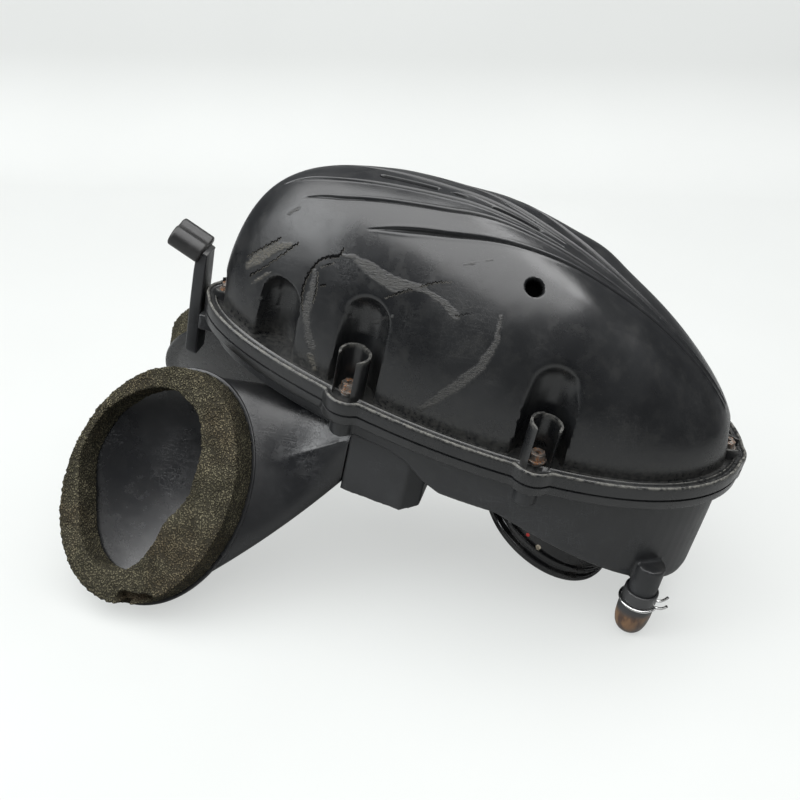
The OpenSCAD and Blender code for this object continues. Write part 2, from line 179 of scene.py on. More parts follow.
def place(obj, body, slot, *nodes):
    """Rides a piece on its body; nodes are the CAD pieces it stands for."""
    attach(obj, body)
    if nodes:
        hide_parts(*nodes)
    return obj


def ring_faces(rows, cols, close_rows=False):
    """Quads between successive rings of cols points; close_rows joins the last ring to the first."""
    faces = []
    for r in range(rows if close_rows else rows - 1):
        a, b = r * cols, ((r + 1) % rows) * cols
        faces += [(a + i, a + (i + 1) % cols, b + (i + 1) % cols, b + i) for i in range(cols)]
    return faces


def fan(ring_start, cols, apex, flip=False):
    """Triangles that close a ring to one point."""
    tris = [(ring_start + i, ring_start + (i + 1) % cols, apex) for i in range(cols)]
    return [t[::-1] for t in tris] if flip else tris


def caps(rings, cols):
    """Flat ends on a stack of rings."""
    last = (rings - 1) * cols
    return [tuple(range(cols))[::-1], tuple(range(last, last + cols))]


def lathe(name, profile, steps, place_point, material, **more):
    """Turned piece: profile is (radius, height) pairs, place_point maps local points to the case."""
    a = np.linspace(0, TAU, steps, endpoint=False)
    prof = np.asarray(profile, float)
    local = np.stack([prof[:, None, 0] * np.cos(a), prof[:, None, 0] * np.sin(a),
                      np.repeat(prof[:, 1:2], steps, 1)], -1)
    points = place_point(local.reshape(-1, 3))
    return mesh_object(name, points, ring_faces(len(prof), steps, close_rows=True), material, **more)


def rounded(corners, radius=1.0, steps=4, closed=True):
    """A polyline whose corners are replaced by small arcs; a third value on a corner sets its own radius."""
    out, n = [], len(corners)
    for i, corner in enumerate(corners):
        p = np.array(corner[:2], float)
        r = corner[2] if len(corner) > 2 else radius
        if not closed and i in (0, n - 1):
            out.append(p)
            continue
        before = np.array(corners[i - 1][:2], float) - p
        after = np.array(corners[(i + 1) % n][:2], float) - p
        lb, la = np.linalg.norm(before), np.linalg.norm(after)
        r = min(r, 0.45 * lb, 0.45 * la)
        s, e = p + before / lb * r, p + after / la * r
        for t in np.linspace(0, 1, steps):
            out.append((1 - t) ** 2 * s + 2 * t * (1 - t) * p + t * t * e)
    return np.array(out)


def tube_along(name, path, radius, material, sides=14, closed=False, **more):
    """A round wire swept along a path of case points."""
    path = np.asarray(path, float)
    nxt = np.roll(path, -1, 0) if closed else np.vstack([path[1:], 2 * path[-1] - path[-2]])
    prv = np.roll(path, 1, 0) if closed else np.vstack([2 * path[0] - path[1], path[:-1]])
    tangent = nxt - prv
    tangent /= np.linalg.norm(tangent, axis=1)[:, None]
    normal = np.cross(tangent[0], [0.3, 0.2, 1.0])
    rings = []
    for p, t, r in zip(path, tangent, np.broadcast_to(radius, len(path))):
        normal = normal - (normal @ t) * t
        normal /= np.linalg.norm(normal)
        side = np.cross(t, normal)
        a = np.linspace(0, TAU, sides, endpoint=False)[:, None]
        rings.append(p + r * (np.cos(a) * normal + np.sin(a) * side))
    faces = ring_faces(len(path), sides, close_rows=closed)
    if not closed:
        faces += caps(len(path), sides)
    return mesh_object(name, np.concatenate(rings), faces, material, **more)


def noise_at(points, scale, seed=0.0, octaves=1):
    """Smooth noise, about -1 to 1, over case points."""
    total = np.zeros(len(points))
    for k in range(octaves):
        f = 2 ** k / scale
        shift = Vector((seed + 17 * k, 3.1 * seed, -seed))
        total += np.array([noise.noise(Vector(p) * f + shift) for p in points]) / 2 ** k
    return total


def smoothstep(v, low, high):
    t = np.clip((v - low) / (high - low), 0, 1)
    return t * t * (3 - 2 * t)


def stroke_distance(points, stroke):
    """Distance to a stroke of (x, y, z, half width) points, less its half width."""
    best = np.full(len(points), 1e9)
    for s, e in zip(stroke[:-1], stroke[1:]):
        a, b = np.array(s[:3], float), np.array(e[:3], float)
        t = np.clip((points - a) @ (b - a) / ((b - a) @ (b - a)), 0, 1)
        d = np.linalg.norm(points - a - t[:, None] * (b - a), axis=1)
        best = np.minimum(best, d - (s[3] + (e[3] - s[3]) * t))
    return best


def smooth_curve(points, count=60):
    """A smooth path through a few points (Catmull-Rom)."""
    p = np.asarray(points, float)
    p = np.vstack([2 * p[0] - p[1], p, 2 * p[-1] - p[-2]])
    out = []
    spans = len(p) - 3
    for u in np.linspace(0, spans - 1e-9, count):
        i, t = int(u), u - int(u)
        a, b, c, d = p[i:i + 4]
        out.append(0.5 * ((2 * b) + (c - a) * t + (2 * a - 5 * b + 4 * c - d) * t * t
                          + (3 * b - a - 3 * c + d) * t ** 3))
    return np.array(out)


# ---------------------------------------------------------------- materials
class Nodes:
    """A short way to write node materials; textures use the row frame in millimetres."""

    def __init__(self, name):
        self.material = bpy.data.materials.new(name)
        self.material.use_nodes = True
        self.tree = self.material.node_tree
        self.tree.nodes.clear()
        self.out = self.add("OutputMaterial")
        self.shader = self.add("BsdfPrincipled")
        self.link(self.shader.outputs[0], self.out.inputs["Surface"])
        coords = self.add("TexCoord")
        self.coords = self.vector_math("SCALE", coords.outputs["Object"], scale=1000)

    def link(self, a, b):
        self.tree.links.new(a, b)

    def add(self, kind):
        return self.tree.nodes.new("ShaderNode" + kind)

    def put(self, socket, value):
        if isinstance(value, bpy.types.NodeSocket):
            self.link(value, socket)
        elif isinstance(value, (tuple, list)) and socket.type == "RGBA":
            socket.default_value = tuple(value) + (1,) * (4 - len(value))
        else:
            socket.default_value = value

    def set(self, **values):
        for key, value in values.items():
            self.put(self.shader.inputs[key.replace("_", " ")], value)

    def vector_math(self, op, a, b=None, scale=None):
        n = self.add("VectorMath")
        n.operation = op
        self.put(n.inputs[0], a)
        if b is not None:
            self.put(n.inputs[1], b)
        if scale is not None:
            n.inputs["Scale"].default_value = scale
        return n.outputs[0]

    def length(self, a):
        n = self.add("VectorMath")
        n.operation = "LENGTH"
        self.put(n.inputs[0], a)
        return n.outputs["Value"]

    def height(self):
        """Height of the shaded point in the row frame, millimetres."""
        split = self.add("SeparateXYZ")
        self.link(self.coords, split.inputs[0])
        return split.outputs["Z"]

    def math(self, op, a, b=0.0):
        n = self.add("Math")
        n.operation = op
        self.put(n.inputs[0], a)
        self.put(n.inputs[1], b)
        return n.outputs[0]

    def times(self, a, b):
        return self.math("MULTIPLY", a, b)

    def over(self, base, mask, share, tint):
        """Colour tint laid over the base where the mask is, at most by the given share."""
        return self.mix(self.times(mask, share), base, tint)

    def ramp(self, value, low, high):
        """A smooth step from 0 at low to 1 at high."""
        n = self.add("MapRange")
        n.interpolation_type = "SMOOTHSTEP"
        for socket, v in zip(n.inputs[:3], (value, low, high)):
            self.put(socket, v)
        return n.outputs[0]

    def noise(self, size, detail=3.0, rough=0.55, stretch=None, distortion=0.0):
        """Noise with features about size millimetres across; stretch is a vector of factors."""
        vec = self.coords if stretch is None else self.vector_math("MULTIPLY", self.coords, stretch)
        n = self.add("TexNoise")
        self.put(n.inputs["Vector"], vec)
        n.inputs["Scale"].default_value = 1 / size
        n.inputs["Detail"].default_value = detail
        n.inputs["Roughness"].default_value = rough
        n.inputs["Distortion"].default_value = distortion
        return n.outputs[0]

    def cells(self, size):
        n = self.add("TexVoronoi")
        self.put(n.inputs["Vector"], self.coords)
        n.inputs["Scale"].default_value = 1 / size
        return n.outputs["Distance"]

    def attribute(self, name):
        n = self.add("Attribute")
        n.attribute_name = name
        return n.outputs["Fac"]

    def edges(self, low=0.52, high=0.62):
        """1 on convex edges, where plastic and paint wear first."""
        n = self.add("NewGeometry")
        return self.ramp(n.outputs["Pointiness"], low, high)

    def up(self):
        """1 on faces that look up, where dust settles."""
        n = self.add("NewGeometry")
        split = self.add("SeparateXYZ")
        self.link(n.outputs["Normal"], split.inputs[0])
        return self.ramp(split.outputs["Z"], 0.1, 0.95)

    def mix(self, factor, a, b):
        n = self.add("Mix")
        n.data_type = "RGBA"
        self.put(n.inputs[0], factor)
        self.put(n.inputs[6], a)
        self.put(n.inputs[7], b)
        return n.outputs[2]

    def blend(self, factor, a, b):
        n = self.add("Mix")
        self.put(n.inputs[0], factor)
        self.put(n.inputs[2], a)
        self.put(n.inputs[3], b)
        return n.outputs[0]

    def bumps(self, *layers):
        """Stacked bumps: each layer is (height, depth in millimetres)."""
        normal = None
        for height, depth in layers:
            n = self.add("Bump")
            n.inputs["Strength"].default_value = 1.0
            n.inputs["Distance"].default_value = depth * MM
            self.put(n.inputs["Height"], height)
            if normal:
                self.link(normal, n.inputs["Normal"])
            normal = n.outputs[0]
        self.set(Normal=normal)


def scratches(m, size=26.0, width=0.012):
    """Fine scratches in three directions, 1 on a scratch."""
    total = None
    for stretch in ((0.05, 1.0, 0.7), (0.8, 0.07, 1.0), (1.0, 0.6, 0.05)):
        lines = m.noise(size * 0.12, detail=2.0, stretch=stretch, distortion=0.4)
        thin = m.math("ABSOLUTE", m.math("SUBTRACT", lines, 0.5))
        line = m.ramp(thin, width, 0.0)
        patch = m.ramp(m.noise(size * 1.4, detail=1.0), 0.5, 0.62)
        line = m.times(line, patch)
        total = line if total is None else m.math("MAXIMUM", total, line)
    return total


def cover_plastic():
    m = Nodes("cover_plastic")
    haze = m.ramp(m.noise(70, detail=4), 0.35, 0.7)
    grime = m.ramp(m.noise(9, detail=5, rough=0.65), 0.45, 0.75)
    scuff, tan, dust = m.attribute("scuff"), m.attribute("tan"), m.attribute("dust")
    fray = m.noise(0.8, detail=5, rough=0.75, stretch=(0.3, 1.0, 1.0))
    scuffed = m.times(scuff, m.ramp(fray, 0.36, 0.58))
    tanned = m.times(tan, m.ramp(fray, 0.38, 0.6))
    fine = scratches(m)
    colour = m.mix(haze, (0.0055, 0.0060, 0.0068), (0.0125, 0.0132, 0.0140))
    colour = m.over(colour, grime, 0.30, (0.026, 0.026, 0.024))
    colour = m.over(colour, fine, 0.13, (0.07, 0.07, 0.068))
    colour = m.over(colour, scuffed, 0.75, (0.048, 0.047, 0.043))
    colour = m.over(colour, tanned, 0.8, (0.085, 0.078, 0.060))
    specks = m.ramp(m.cells(2.6), 0.10, 0.04)
    specks = m.times(specks, m.ramp(m.noise(30), 0.5, 0.65))
    colour = m.over(colour, specks, 0.35, (0.14, 0.135, 0.12))
    # the dust mask lays a pale film: settled dust low on the dome and on the tower tops, and on the skirt
    # lips a painted highlight along their ridges
    dust_and_lip_sheen = m.times(dust, m.ramp(m.noise(2.2, detail=5, rough=0.7), 0.36, 0.62))
    colour = m.over(colour, dust_and_lip_sheen, 0.6, (0.22, 0.215, 0.19))
    colour = m.over(colour, m.edges(0.54, 0.66), 0.3, (0.07, 0.07, 0.068))
    # painted shade: light hardly gets into the grooves, slots and dimple, so the pit mask paints them nearly
    # black
    pit_shade = m.attribute("pit_shade")
    colour = m.over(colour, pit_shade, 0.95, (0.0006, 0.0006, 0.0006))
    rough = m.blend(haze, 0.25, 0.36)
    rough = m.blend(pit_shade, rough, 0.7)
    rough = m.blend(m.times(grime, 0.4), rough, 0.5)
    rough = m.blend(m.math("MAXIMUM", scuffed, tanned), rough, 0.78)
    rough = m.blend(dust_and_lip_sheen, rough, 0.85)
    rough = m.blend(m.times(fine, 0.25), rough, 0.6)
    m.set(Base_Color=colour, Roughness=rough)
    m.set(Specular_IOR_Level=m.blend(pit_shade, 0.6, 0.0))
    hatch = m.noise(0.8, detail=3, stretch=(0.25, 1.0, 1.0), distortion=0.6)
    m.bumps((m.noise(0.5, detail=2), 0.02), (m.noise(28, detail=2), 0.5), (fine, -0.015),
            (m.times(m.math("MAXIMUM", scuff, tan), hatch), 0.5))
    return m.material


def moulded(name, dark, light, roughness=0.6, grain=0.6, depth=0.035, wear=0.4, dust=0.35):
    """Matte moulded plastic with grain, haze, fine scratches, worn edges and settled dust."""
    m = Nodes(name)
    haze = m.ramp(m.noise(45, detail=4), 0.35, 0.7)
    grime = m.ramp(m.noise(7, detail=5, rough=0.7), 0.48, 0.78)
    fine = scratches(m, size=20)
    colour = m.mix(haze, dark, light)
    colour = m.over(colour, grime, 0.35, tuple(1.9 * c for c in light))
    colour = m.over(colour, fine, 0.4, tuple(min(1, 3.2 * c) for c in light))
    colour = m.over(colour, m.edges(0.53, 0.66), wear, tuple(min(1, 3 * c) for c in light))
    settled = m.times(m.up(), m.ramp(m.noise(16, detail=4), 0.42, 0.7))
    colour = m.over(colour, settled, dust, (0.17, 0.165, 0.15))
    rough = m.blend(haze, roughness - 0.07, roughness + 0.07)
    rough = m.blend(m.times(grime, 0.5), rough, min(0.9, roughness + 0.2))
    m.set(Base_Color=colour, Roughness=rough)
    m.bumps((m.noise(grain, detail=2), depth), (m.noise(22, detail=2), 0.2), (fine, -0.03))
    return m.material


def rubber(name, colour, roughness=0.35, bloom=0.25, bloom_colour=(0.06, 0.058, 0.054)):
    m = Nodes(name)
    patch = m.ramp(m.noise(14, detail=5, rough=0.65), 0.42, 0.72)
    col = m.mix(m.times(patch, bloom), colour, bloom_colour)
    col = m.over(col, m.edges(0.52, 0.6), 0.3, bloom_colour)
    rough = m.blend(patch, roughness, roughness + 0.22)
    m.set(Base_Color=col, Roughness=rough)
    m.bumps((m.noise(0.9, detail=3), 0.03), (m.noise(9, detail=2), 0.2))
    return m


def open_cell_foam():
    m = Nodes("foam")
    cell = m.cells(1.15)
    pore = m.ramp(cell, 0.25, 0.65)
    tone = m.ramp(m.noise(11, detail=5, rough=0.65), 0.34, 0.68)
    stain = m.ramp(m.noise(32, detail=3), 0.45, 0.68)
    colour = m.mix(tone, (0.070, 0.064, 0.040), (0.165, 0.150, 0.098))
    colour = m.over(colour, stain, 0.4, (0.090, 0.062, 0.034))
    # painted shade: the pores are darkened nearly to black, where light does not get into them; the bump
    # below sinks them
    colour = m.over(colour, pore, 0.85, (0.013, 0.012, 0.009))
    torn = m.attribute("torn")
    colour = m.over(colour, torn, 0.65, (0.045, 0.030, 0.017))
    m.set(Base_Color=colour, Roughness=0.95)
    m.shader.inputs["Specular IOR Level"].default_value = 0.15
    m.bumps((m.noise(0.5, detail=3), 0.35), (pore, -1.3))
    return m.material


def metal(name, colour, roughness=0.35, rust=0.15):
    m = Nodes(name)
    spots = m.ramp(m.noise(2.4, detail=6, rough=0.7), 0.62 - 0.3 * rust, 0.70 - 0.2 * rust)
    tone = m.ramp(m.noise(1.2, detail=5), 0.4, 0.65)
    brown = m.mix(tone, (0.10, 0.038, 0.014), (0.24, 0.105, 0.04))
    m.set(Base_Color=m.mix(spots, colour, brown), Metallic=m.blend(spots, 1.0, 0.1),
          Roughness=m.blend(spots, m.blend(m.noise(3), roughness - 0.08, roughness + 0.12), 0.85))
    m.bumps((m.noise(0.35, detail=3), 0.02), (m.times(spots, tone), 0.12))
    return m.material


def filter_paper():
    m = Nodes("filter_paper")
    fibre = m.noise(0.5, detail=4, stretch=(1, 0.3, 1))
    dirt = m.ramp(m.noise(18, detail=5, rough=0.7), 0.4, 0.7)
    colour = m.mix(fibre, (0.42, 0.33, 0.18), (0.56, 0.46, 0.28))
    colour = m.over(colour, dirt, 0.6, (0.14, 0.12, 0.09))
    m.set(Base_Color=colour, Roughness=0.9)
    m.bumps((fibre, 0.06), (m.noise(5), 0.3))
    return m.material


COVER = cover_plastic()
CASE = moulded("case_plastic", (0.0105, 0.0113, 0.0125), (0.021, 0.022, 0.0235), roughness=0.42, dust=0.16)
DUCT = moulded("duct_plastic", (0.0060, 0.0065, 0.0075), (0.0125, 0.0130, 0.0140), roughness=0.3, dust=0.05,
               wear=0.5)
FILTER = moulded("filter_plastic", (0.010, 0.0105, 0.0115), (0.020, 0.021, 0.022), roughness=0.42)
STAY = moulded("stay_plastic", (0.011, 0.012, 0.013), (0.024, 0.025, 0.027), roughness=0.38, wear=0.5)
FOAM = open_cell_foam()
SEAL = rubber("seal_rubber", (0.011, 0.011, 0.011), 0.42).material
GASKET = rubber("gasket_foam", (0.028, 0.028, 0.026), 0.75, bloom=0.5).material
ZINC = metal("zinc_steel", (0.42, 0.42, 0.41), 0.38, rust=0.25)
RUSTY = metal("rusty_steel", (0.24, 0.22, 0.20), 0.45, rust=0.45)
BRASS = metal("brass", (0.58, 0.42, 0.17), 0.33, rust=0.1)
WIRE = metal("spring_steel", (0.72, 0.72, 0.71), 0.2, rust=0.05)
PAPER = filter_paper()

# ---------------------------------------------------------------- upper cover
# Grooves beside the crest on the left half, plan position and half width; the right half mirrors them
GROOVES = [
    [(-64, -32.5, 0.15), (-52, -32, 0.6), (-39, -31, 0.85), (-14, -28, 0.9), (10, -22.5, 0.8),
     (42, -13.5, 0.9), (76, -6.5, 0.9), (105, -3.4, 0.8), (134, -2.6, 0.6)],
    [(-104, -17.5, 0.15), (-92, -19.5, 0.5), (-78, -21, 0.6), (-53, -20, 0.7), (-28, -16.5, 0.8),
     (7, -9.5, 0.8), (50, -5.0, 0.8), (88, -2.4, 0.3)],
    [(-118, -6, 0.15), (-106, -7.5, 0.5), (-87, -9.5, 0.6), (-56, -8, 0.8), (-26, -5.6, 0.8), (4, -3.6, 0.8),
     (30, -2.2, 0.2)],
]
GROOVE_DEPTH = 1.9
# Shallow slots on the crest: from x, to x, half width
CREST_SLOTS = [(-68, -40, 1.9), (-29, -25, 1.5), (-8, 16, 1.6)]
SLOT_DEPTH = 2.4
DIMPLE, DIMPLE_R, DIMPLE_DEPTH = (24.0, -38.0, 93.5), 5.0, 7.0

CRACK_JAG = 0.9              # sideways wander of the cracks, mm
# Wear on the left side of the dome, in strokes: place along the case, height and half width
CRACKS = [
    [(-88.5, 42.8, 0.15), (-90.2, 52.4, 0.5), (-89.3, 61, 0.55), (-86.8, 67.9, 0.5), (-84, 72.4, 0.5),
     (-79.1, 76.3, 0.75), (-75.4, 78.2, 0.6), (-73.9, 82.7, 0.3)],
    [(-83.5, 49.5, 0.1), (-83.1, 57, 0.35), (-84.3, 66, 0.1)],
    [(-83.6, 68.6, 0.1), (-79.5, 72.3, 0.3), (-76.6, 74.5, 0.1)],
    [(-81.5, 60, 0.2), (-78.5, 62.2, 0.4)],
    [(-30.3, 80.1, 0.2), (-22.8, 84, 0.35), (-15.8, 86.3, 0.1)],
    [(-8.8, 72.9, 0.3), (-2.7, 75.9, 0.25), (5.3, 78.7, 0.1)],
    [(-45.5, 68.5, 0.1), (-40.3, 73.5, 0.35), (-34, 77.6, 0.25)],
    [(-124.6, 43.1, 0.5), (-117, 51.6, 0.25), (-106.2, 65, 0.3), (-99.2, 74.1, 0.45)],
    [(-128.9, 51.2, 0.2), (-119.9, 61.1, 0.35), (-110, 71.5, 0.4)],
]
SCUFFS = [
    [(-73, 78.9, 0.3), (-66.4, 80.5, 1.2), (-59.8, 79.2, 2.7), (-50.7, 77.2, 3.4), (-41.4, 76.1, 3.7),
     (-34.5, 78.3, 1.9), (-29, 80.2, 1)],
    [(-31.1, 78.9, 1), (-23, 78.3, 1), (-15.3, 76.2, 1.3), (-8.8, 72.9, 1.8)],
    [(12.5, 79, 0.4), (14, 67, 1), (10.5, 55, 2), (3, 42.5, 2.4), (-6.5, 30, 2), (-14.5, 20.5, 1.2)],
    [(-86, 66, 0.4), (-85, 56, 1.6), (-86, 46, 2.2), (-84, 36, 1.6), (-79, 27, 2.4)],
    [(-49.5, 49.2, 0.3), (-44.5, 56, 0.5), (-40, 61.5, 0.2)],
    [(-108.5, 84.1, 0.6), (-103.9, 88.5, 0.2)],
    [(-12.5, 94.7, 0.3), (-0.1, 99.3, 0.2)],
]
TAN_SCUFFS = [
    [(-127.5, 46.5, 1.6), (-120, 55.5, 3), (-112, 64.5, 2.4), (-103, 71.5, 0.6)],
    [(-122, 39.7, 0.3), (-116.5, 46.5, 0.9), (-111.6, 52, 0.2)],
    [(-78, 20.5, 1.8), (-74, 15.5, 1)],
]


def even_reach(rows):
    """Reach values that space the rows of the dome evenly along its side."""
    r = 1 - np.linspace(0, 1, 4000) ** 2
    h = np.sqrt(np.maximum(0, 1 - r ** 2.2))
    s = np.concatenate([[0], np.cumsum(np.hypot(np.diff(r * 1.15), np.diff(h)))])
    return np.interp(np.linspace(0, s[-1], rows + 1), s, r)[:-1]


def groove_depth(p):
    """Depth of the grooves, slots and dimple under each point of the plain dome."""
    depth = np.zeros(len(p))
    left = np.stack([p[:, 0], -np.abs(p[:, 1])], -1)
    on_top = p[:, 2] > 30
    for groove in GROOVES:
        path = smooth_curve(groove, 40)
        near = np.full(len(p), 1e9)
        width = np.ones(len(p))
        for s, e in zip(path[:-1], path[1:]):
            span = e[:2] - s[:2]
            t = np.clip((left - s[:2]) @ span / (span @ span), 0, 1)
            d = np.linalg.norm(left - s[:2] - t[:, None] * span, axis=1)
            closer = d < near
            near = np.where(closer, d, near)
            width = np.where(closer, np.maximum(s[2] + (e[2] - s[2]) * t, 0.05), width)
        cut = np.exp(-(near / (0.95 * width)) ** 2) * GROOVE_DEPTH * np.minimum(width, 1.2)
        lip = -0.28 * np.exp(-((near - 2.1 * width) / (0.8 * width)) ** 2) * np.minimum(width, 1)
        depth = np.where(on_top, depth + cut + lip, depth)
    for x0, x1, half in CREST_SLOTS:
        t = np.clip(p[:, 0], x0, x1)
        d = np.hypot(p[:, 0] - t, p[:, 1])
        depth += np.where(on_top, SLOT_DEPTH * smoothstep(d, half + 0.3, half - 1.0), 0)
    d = np.linalg.norm(p - np.array(DIMPLE), axis=1)
    depth += DIMPLE_DEPTH * smoothstep(d, DIMPLE_R + 0.3, DIMPLE_R - 1.8)
    return depth


def on_left_side(surface, stroke):
    """The stroke laid on the left half of the dome: (x, y, z, half width) points."""
    left = surface[surface[:, 1] < 0]
    nearest = [left[((left[:, [0, 2]] - point[:2]) ** 2).sum(1).argmin()] for point in stroke]
    return [(*spot, point[2]) for spot, point in zip(nearest, stroke)]


def worn_area(surface, strokes, wander):
    """1 under the strokes, with ragged edges."""
    mask = np.zeros(len(surface))
    for stroke in strokes:
        off = stroke_distance(surface, on_left_side(surface, stroke)) + wander
        mask = np.maximum(mask, smoothstep(off, 0.7, -0.5))
    return mask


def grid_normals(points, rows, cols):
    g = points.reshape(rows, cols, 3)
    du = np.roll(g, -1, 1) - np.roll(g, 1, 1)
    dv = np.gradient(g, axis=0)
    n = np.cross(du, dv)
    length = np.linalg.norm(n, axis=-1, keepdims=True)
    return (n / np.maximum(length, 1e-9)).reshape(-1, 3)


def level_ring(xy, z):
    return np.column_stack([xy, np.full(len(xy), z)])


def build_cover():
    cols, rows, inner_rows = 840, 250, 90
    a = np.linspace(0, TAU, cols, endpoint=False)
    reaches = even_reach(rows)
    A, T = np.meshgrid(a, reaches)
    base = drawn_in(dome(A, T)).reshape(-1, 3)
    normal = grid_normals(base, rows, cols)
    normal *= np.sign((normal * (base - np.array([0, 0, 40]))).sum(1))[:, None]
    # a soft swelling high on each side
    bulge = np.exp(-((base[:, 0] - 50) / 13) ** 2 - ((np.abs(base[:, 1]) - 31) / 12) ** 2)
    bulge *= base[:, 2] > 60
    depth = groove_depth(base)
    wander = 0.9 * noise_at(base * 0.35, 1.0, 5)
    scuff, tan = worn_area(base, SCUFFS, wander), worn_area(base, TAN_SCUFFS, wander)
    warp = 0.35 * noise_at(base, 34.0, 3)
    outer = base + normal * (1.6 * bulge + warp - depth - 0.12 * scuff)[:, None]
    low = smoothstep(base[:, 2], 26, 12.5)
    # skirt section from the inside of its lower edge, out and up over both lips: inset, height
    section = [(2.4, 0.4), (2.0, 0.05), (0.6, 0.0), (0.15, 0.25), (0.0, 0.7), (0.0, 4.9), (0.9, 5.2),
               (0.9, 6.0), (0.0, 6.3), (0.0, 11.2), (0.2, 12.4),
               (0.5, 13.2), (0.9, 13.6), (1.3, 13.6), (1.7, 13.3), (2.1, 12.6), (2.5, 12.1), (3.0, 12.0),
               (3.9, 12.0), (4.2, 12.5), (4.5, 13.0), (4.9, 13.2), (5.3, 13.0), (5.6, 12.3), (6.0, 12.05),
               (6.8, 12.0)]
    rings = [level_ring(egg(a, inset) if inset > 4 else bulged(a, inset), z) for inset, z in section]
    # dust mask on the skirt: the high value along the tops of both lips paints a highlight on their ridges,
    # with a little on the outer edge
    dust = [0.9 if z > 13.1 else 0.1 if z > 11.5 else 0.0 for _, z in section]
    IA, IT = np.meshgrid(a, even_reach(inner_rows)[::-1])
    inner = drawn_in(dome(IA, IT, WALL), WALL).reshape(-1, 3)
    # the dimple is deeper than the wall, so the inner skin goes in with it
    inwards = -normal[((base - DIMPLE) ** 2).sum(1).argmin()]
    away = np.linalg.norm(inner - (np.array(DIMPLE) + WALL * inwards), axis=1)
    inner += (DIMPLE_DEPTH * smoothstep(away, DIMPLE_R + 4.0, DIMPLE_R + 1.5))[:, None] * inwards
    tail = [(10.5, 11.0), (10.8, 9.6), (9.5, PLATE_Z), (6.0, PLATE_Z), (2.8, PLATE_Z), (2.4, 9.1),
            (2.4, 4.5)]
    under = [level_ring(egg(a, inset) if inset > 3 else bulged(a, inset), z) for inset, z in tail]
    skirt = np.concatenate(rings)
    top = np.array([[APEX_X, 0, SKIRT_H + crest(APEX_X) - 1.0]])
    top_in = top - [0, 0, WALL - 0.4]
    points = np.concatenate([skirt, outer, inner] + under + [top, top_in])
    start = len(skirt) + len(outer)
    total = len(points) - 2
    faces = ring_faces(start // cols, cols)
    faces += [tuple(start + i for i in f) for f in ring_faces((total - start) // cols, cols)]
    faces += fan(start - cols, cols, total) + fan(start, cols, total + 1, flip=True)
    last = total - cols
    faces += [(last + i, last + (i + 1) % cols, (i + 1) % cols, i) for i in range(cols)]
    masks = {}
    # the pit mask marks the grooves, slots and dimple, which the cover's material paints nearly black as
    # shade
    on_dome = {"scuff": scuff, "tan": tan, "pit_shade": smoothstep(depth, 0.5, 2.2), "dust": 0.2 * low}
    for key, values in on_dome.items():
        masks[key] = np.zeros(len(points))
        masks[key][len(skirt):start] = values
    masks["dust"][:len(skirt)] = np.repeat(dust, cols)
    cover = mesh_object("cover_shell", points, faces, COVER, masks, sharp=50)
    build_cracks(base, normal)
    return place(cover, "cover", "cover_plastic", "upper_cover")


def build_cracks(surface, normals):
    """Cracks: thin, jagged lines that lie in the cover's skin: a near-black tube of painted shadow in each,
    and a pale tube of painted highlight along one lip.
    """
    m = Nodes("crack_shadow")
    m.set(Base_Color=(0.0022, 0.0022, 0.0024), Roughness=0.95)
    m.shader.inputs["Specular IOR Level"].default_value = 0.1
    # painted highlight: a pale tube along one lip of each crack
    pale = Nodes("crack_lip_highlight")
    pale.set(Base_Color=pale.mix(pale.noise(1.5), (0.02, 0.02, 0.019), (0.16, 0.15, 0.125)), Roughness=0.7)
    for number, stroke in enumerate(CRACKS):
        stroke = on_left_side(surface, stroke)
        path = smooth_curve([p[:3] for p in stroke], 14 * len(stroke))
        steps = np.arange(len(path))
        half = np.interp(steps, np.linspace(0, len(path) - 1, len(stroke)), [p[3] for p in stroke])
        jag = 0.45 * np.sin(steps * 1.9 + number) + 0.35 * np.sin(steps * 0.83 + 2 * number)
        near = np.array([((surface - p) ** 2).sum(1).argmin() for p in path])
        n = normals[near]
        path = path - n * ((path - surface[near]) * n).sum(1)[:, None]
        side = np.cross(np.gradient(path, axis=0), n)
        side /= np.linalg.norm(side, axis=1)[:, None]
        path = path + side * jag[:, None] * CRACK_JAG - n * 0.06
        taper = np.maximum(0.10, half)
        line = tube_along(f"cover_crack_{number}", path, taper, m.material, sides=8, sharp=180)
        place(line, "cover", "cover_plastic")
        edge = path + side * (taper + 0.14)[:, None]
        lip = tube_along(f"cover_crack_edge_{number}", edge, 0.16, pale.material, sides=6, sharp=180)
        place(lip, "cover", "cover_plastic")


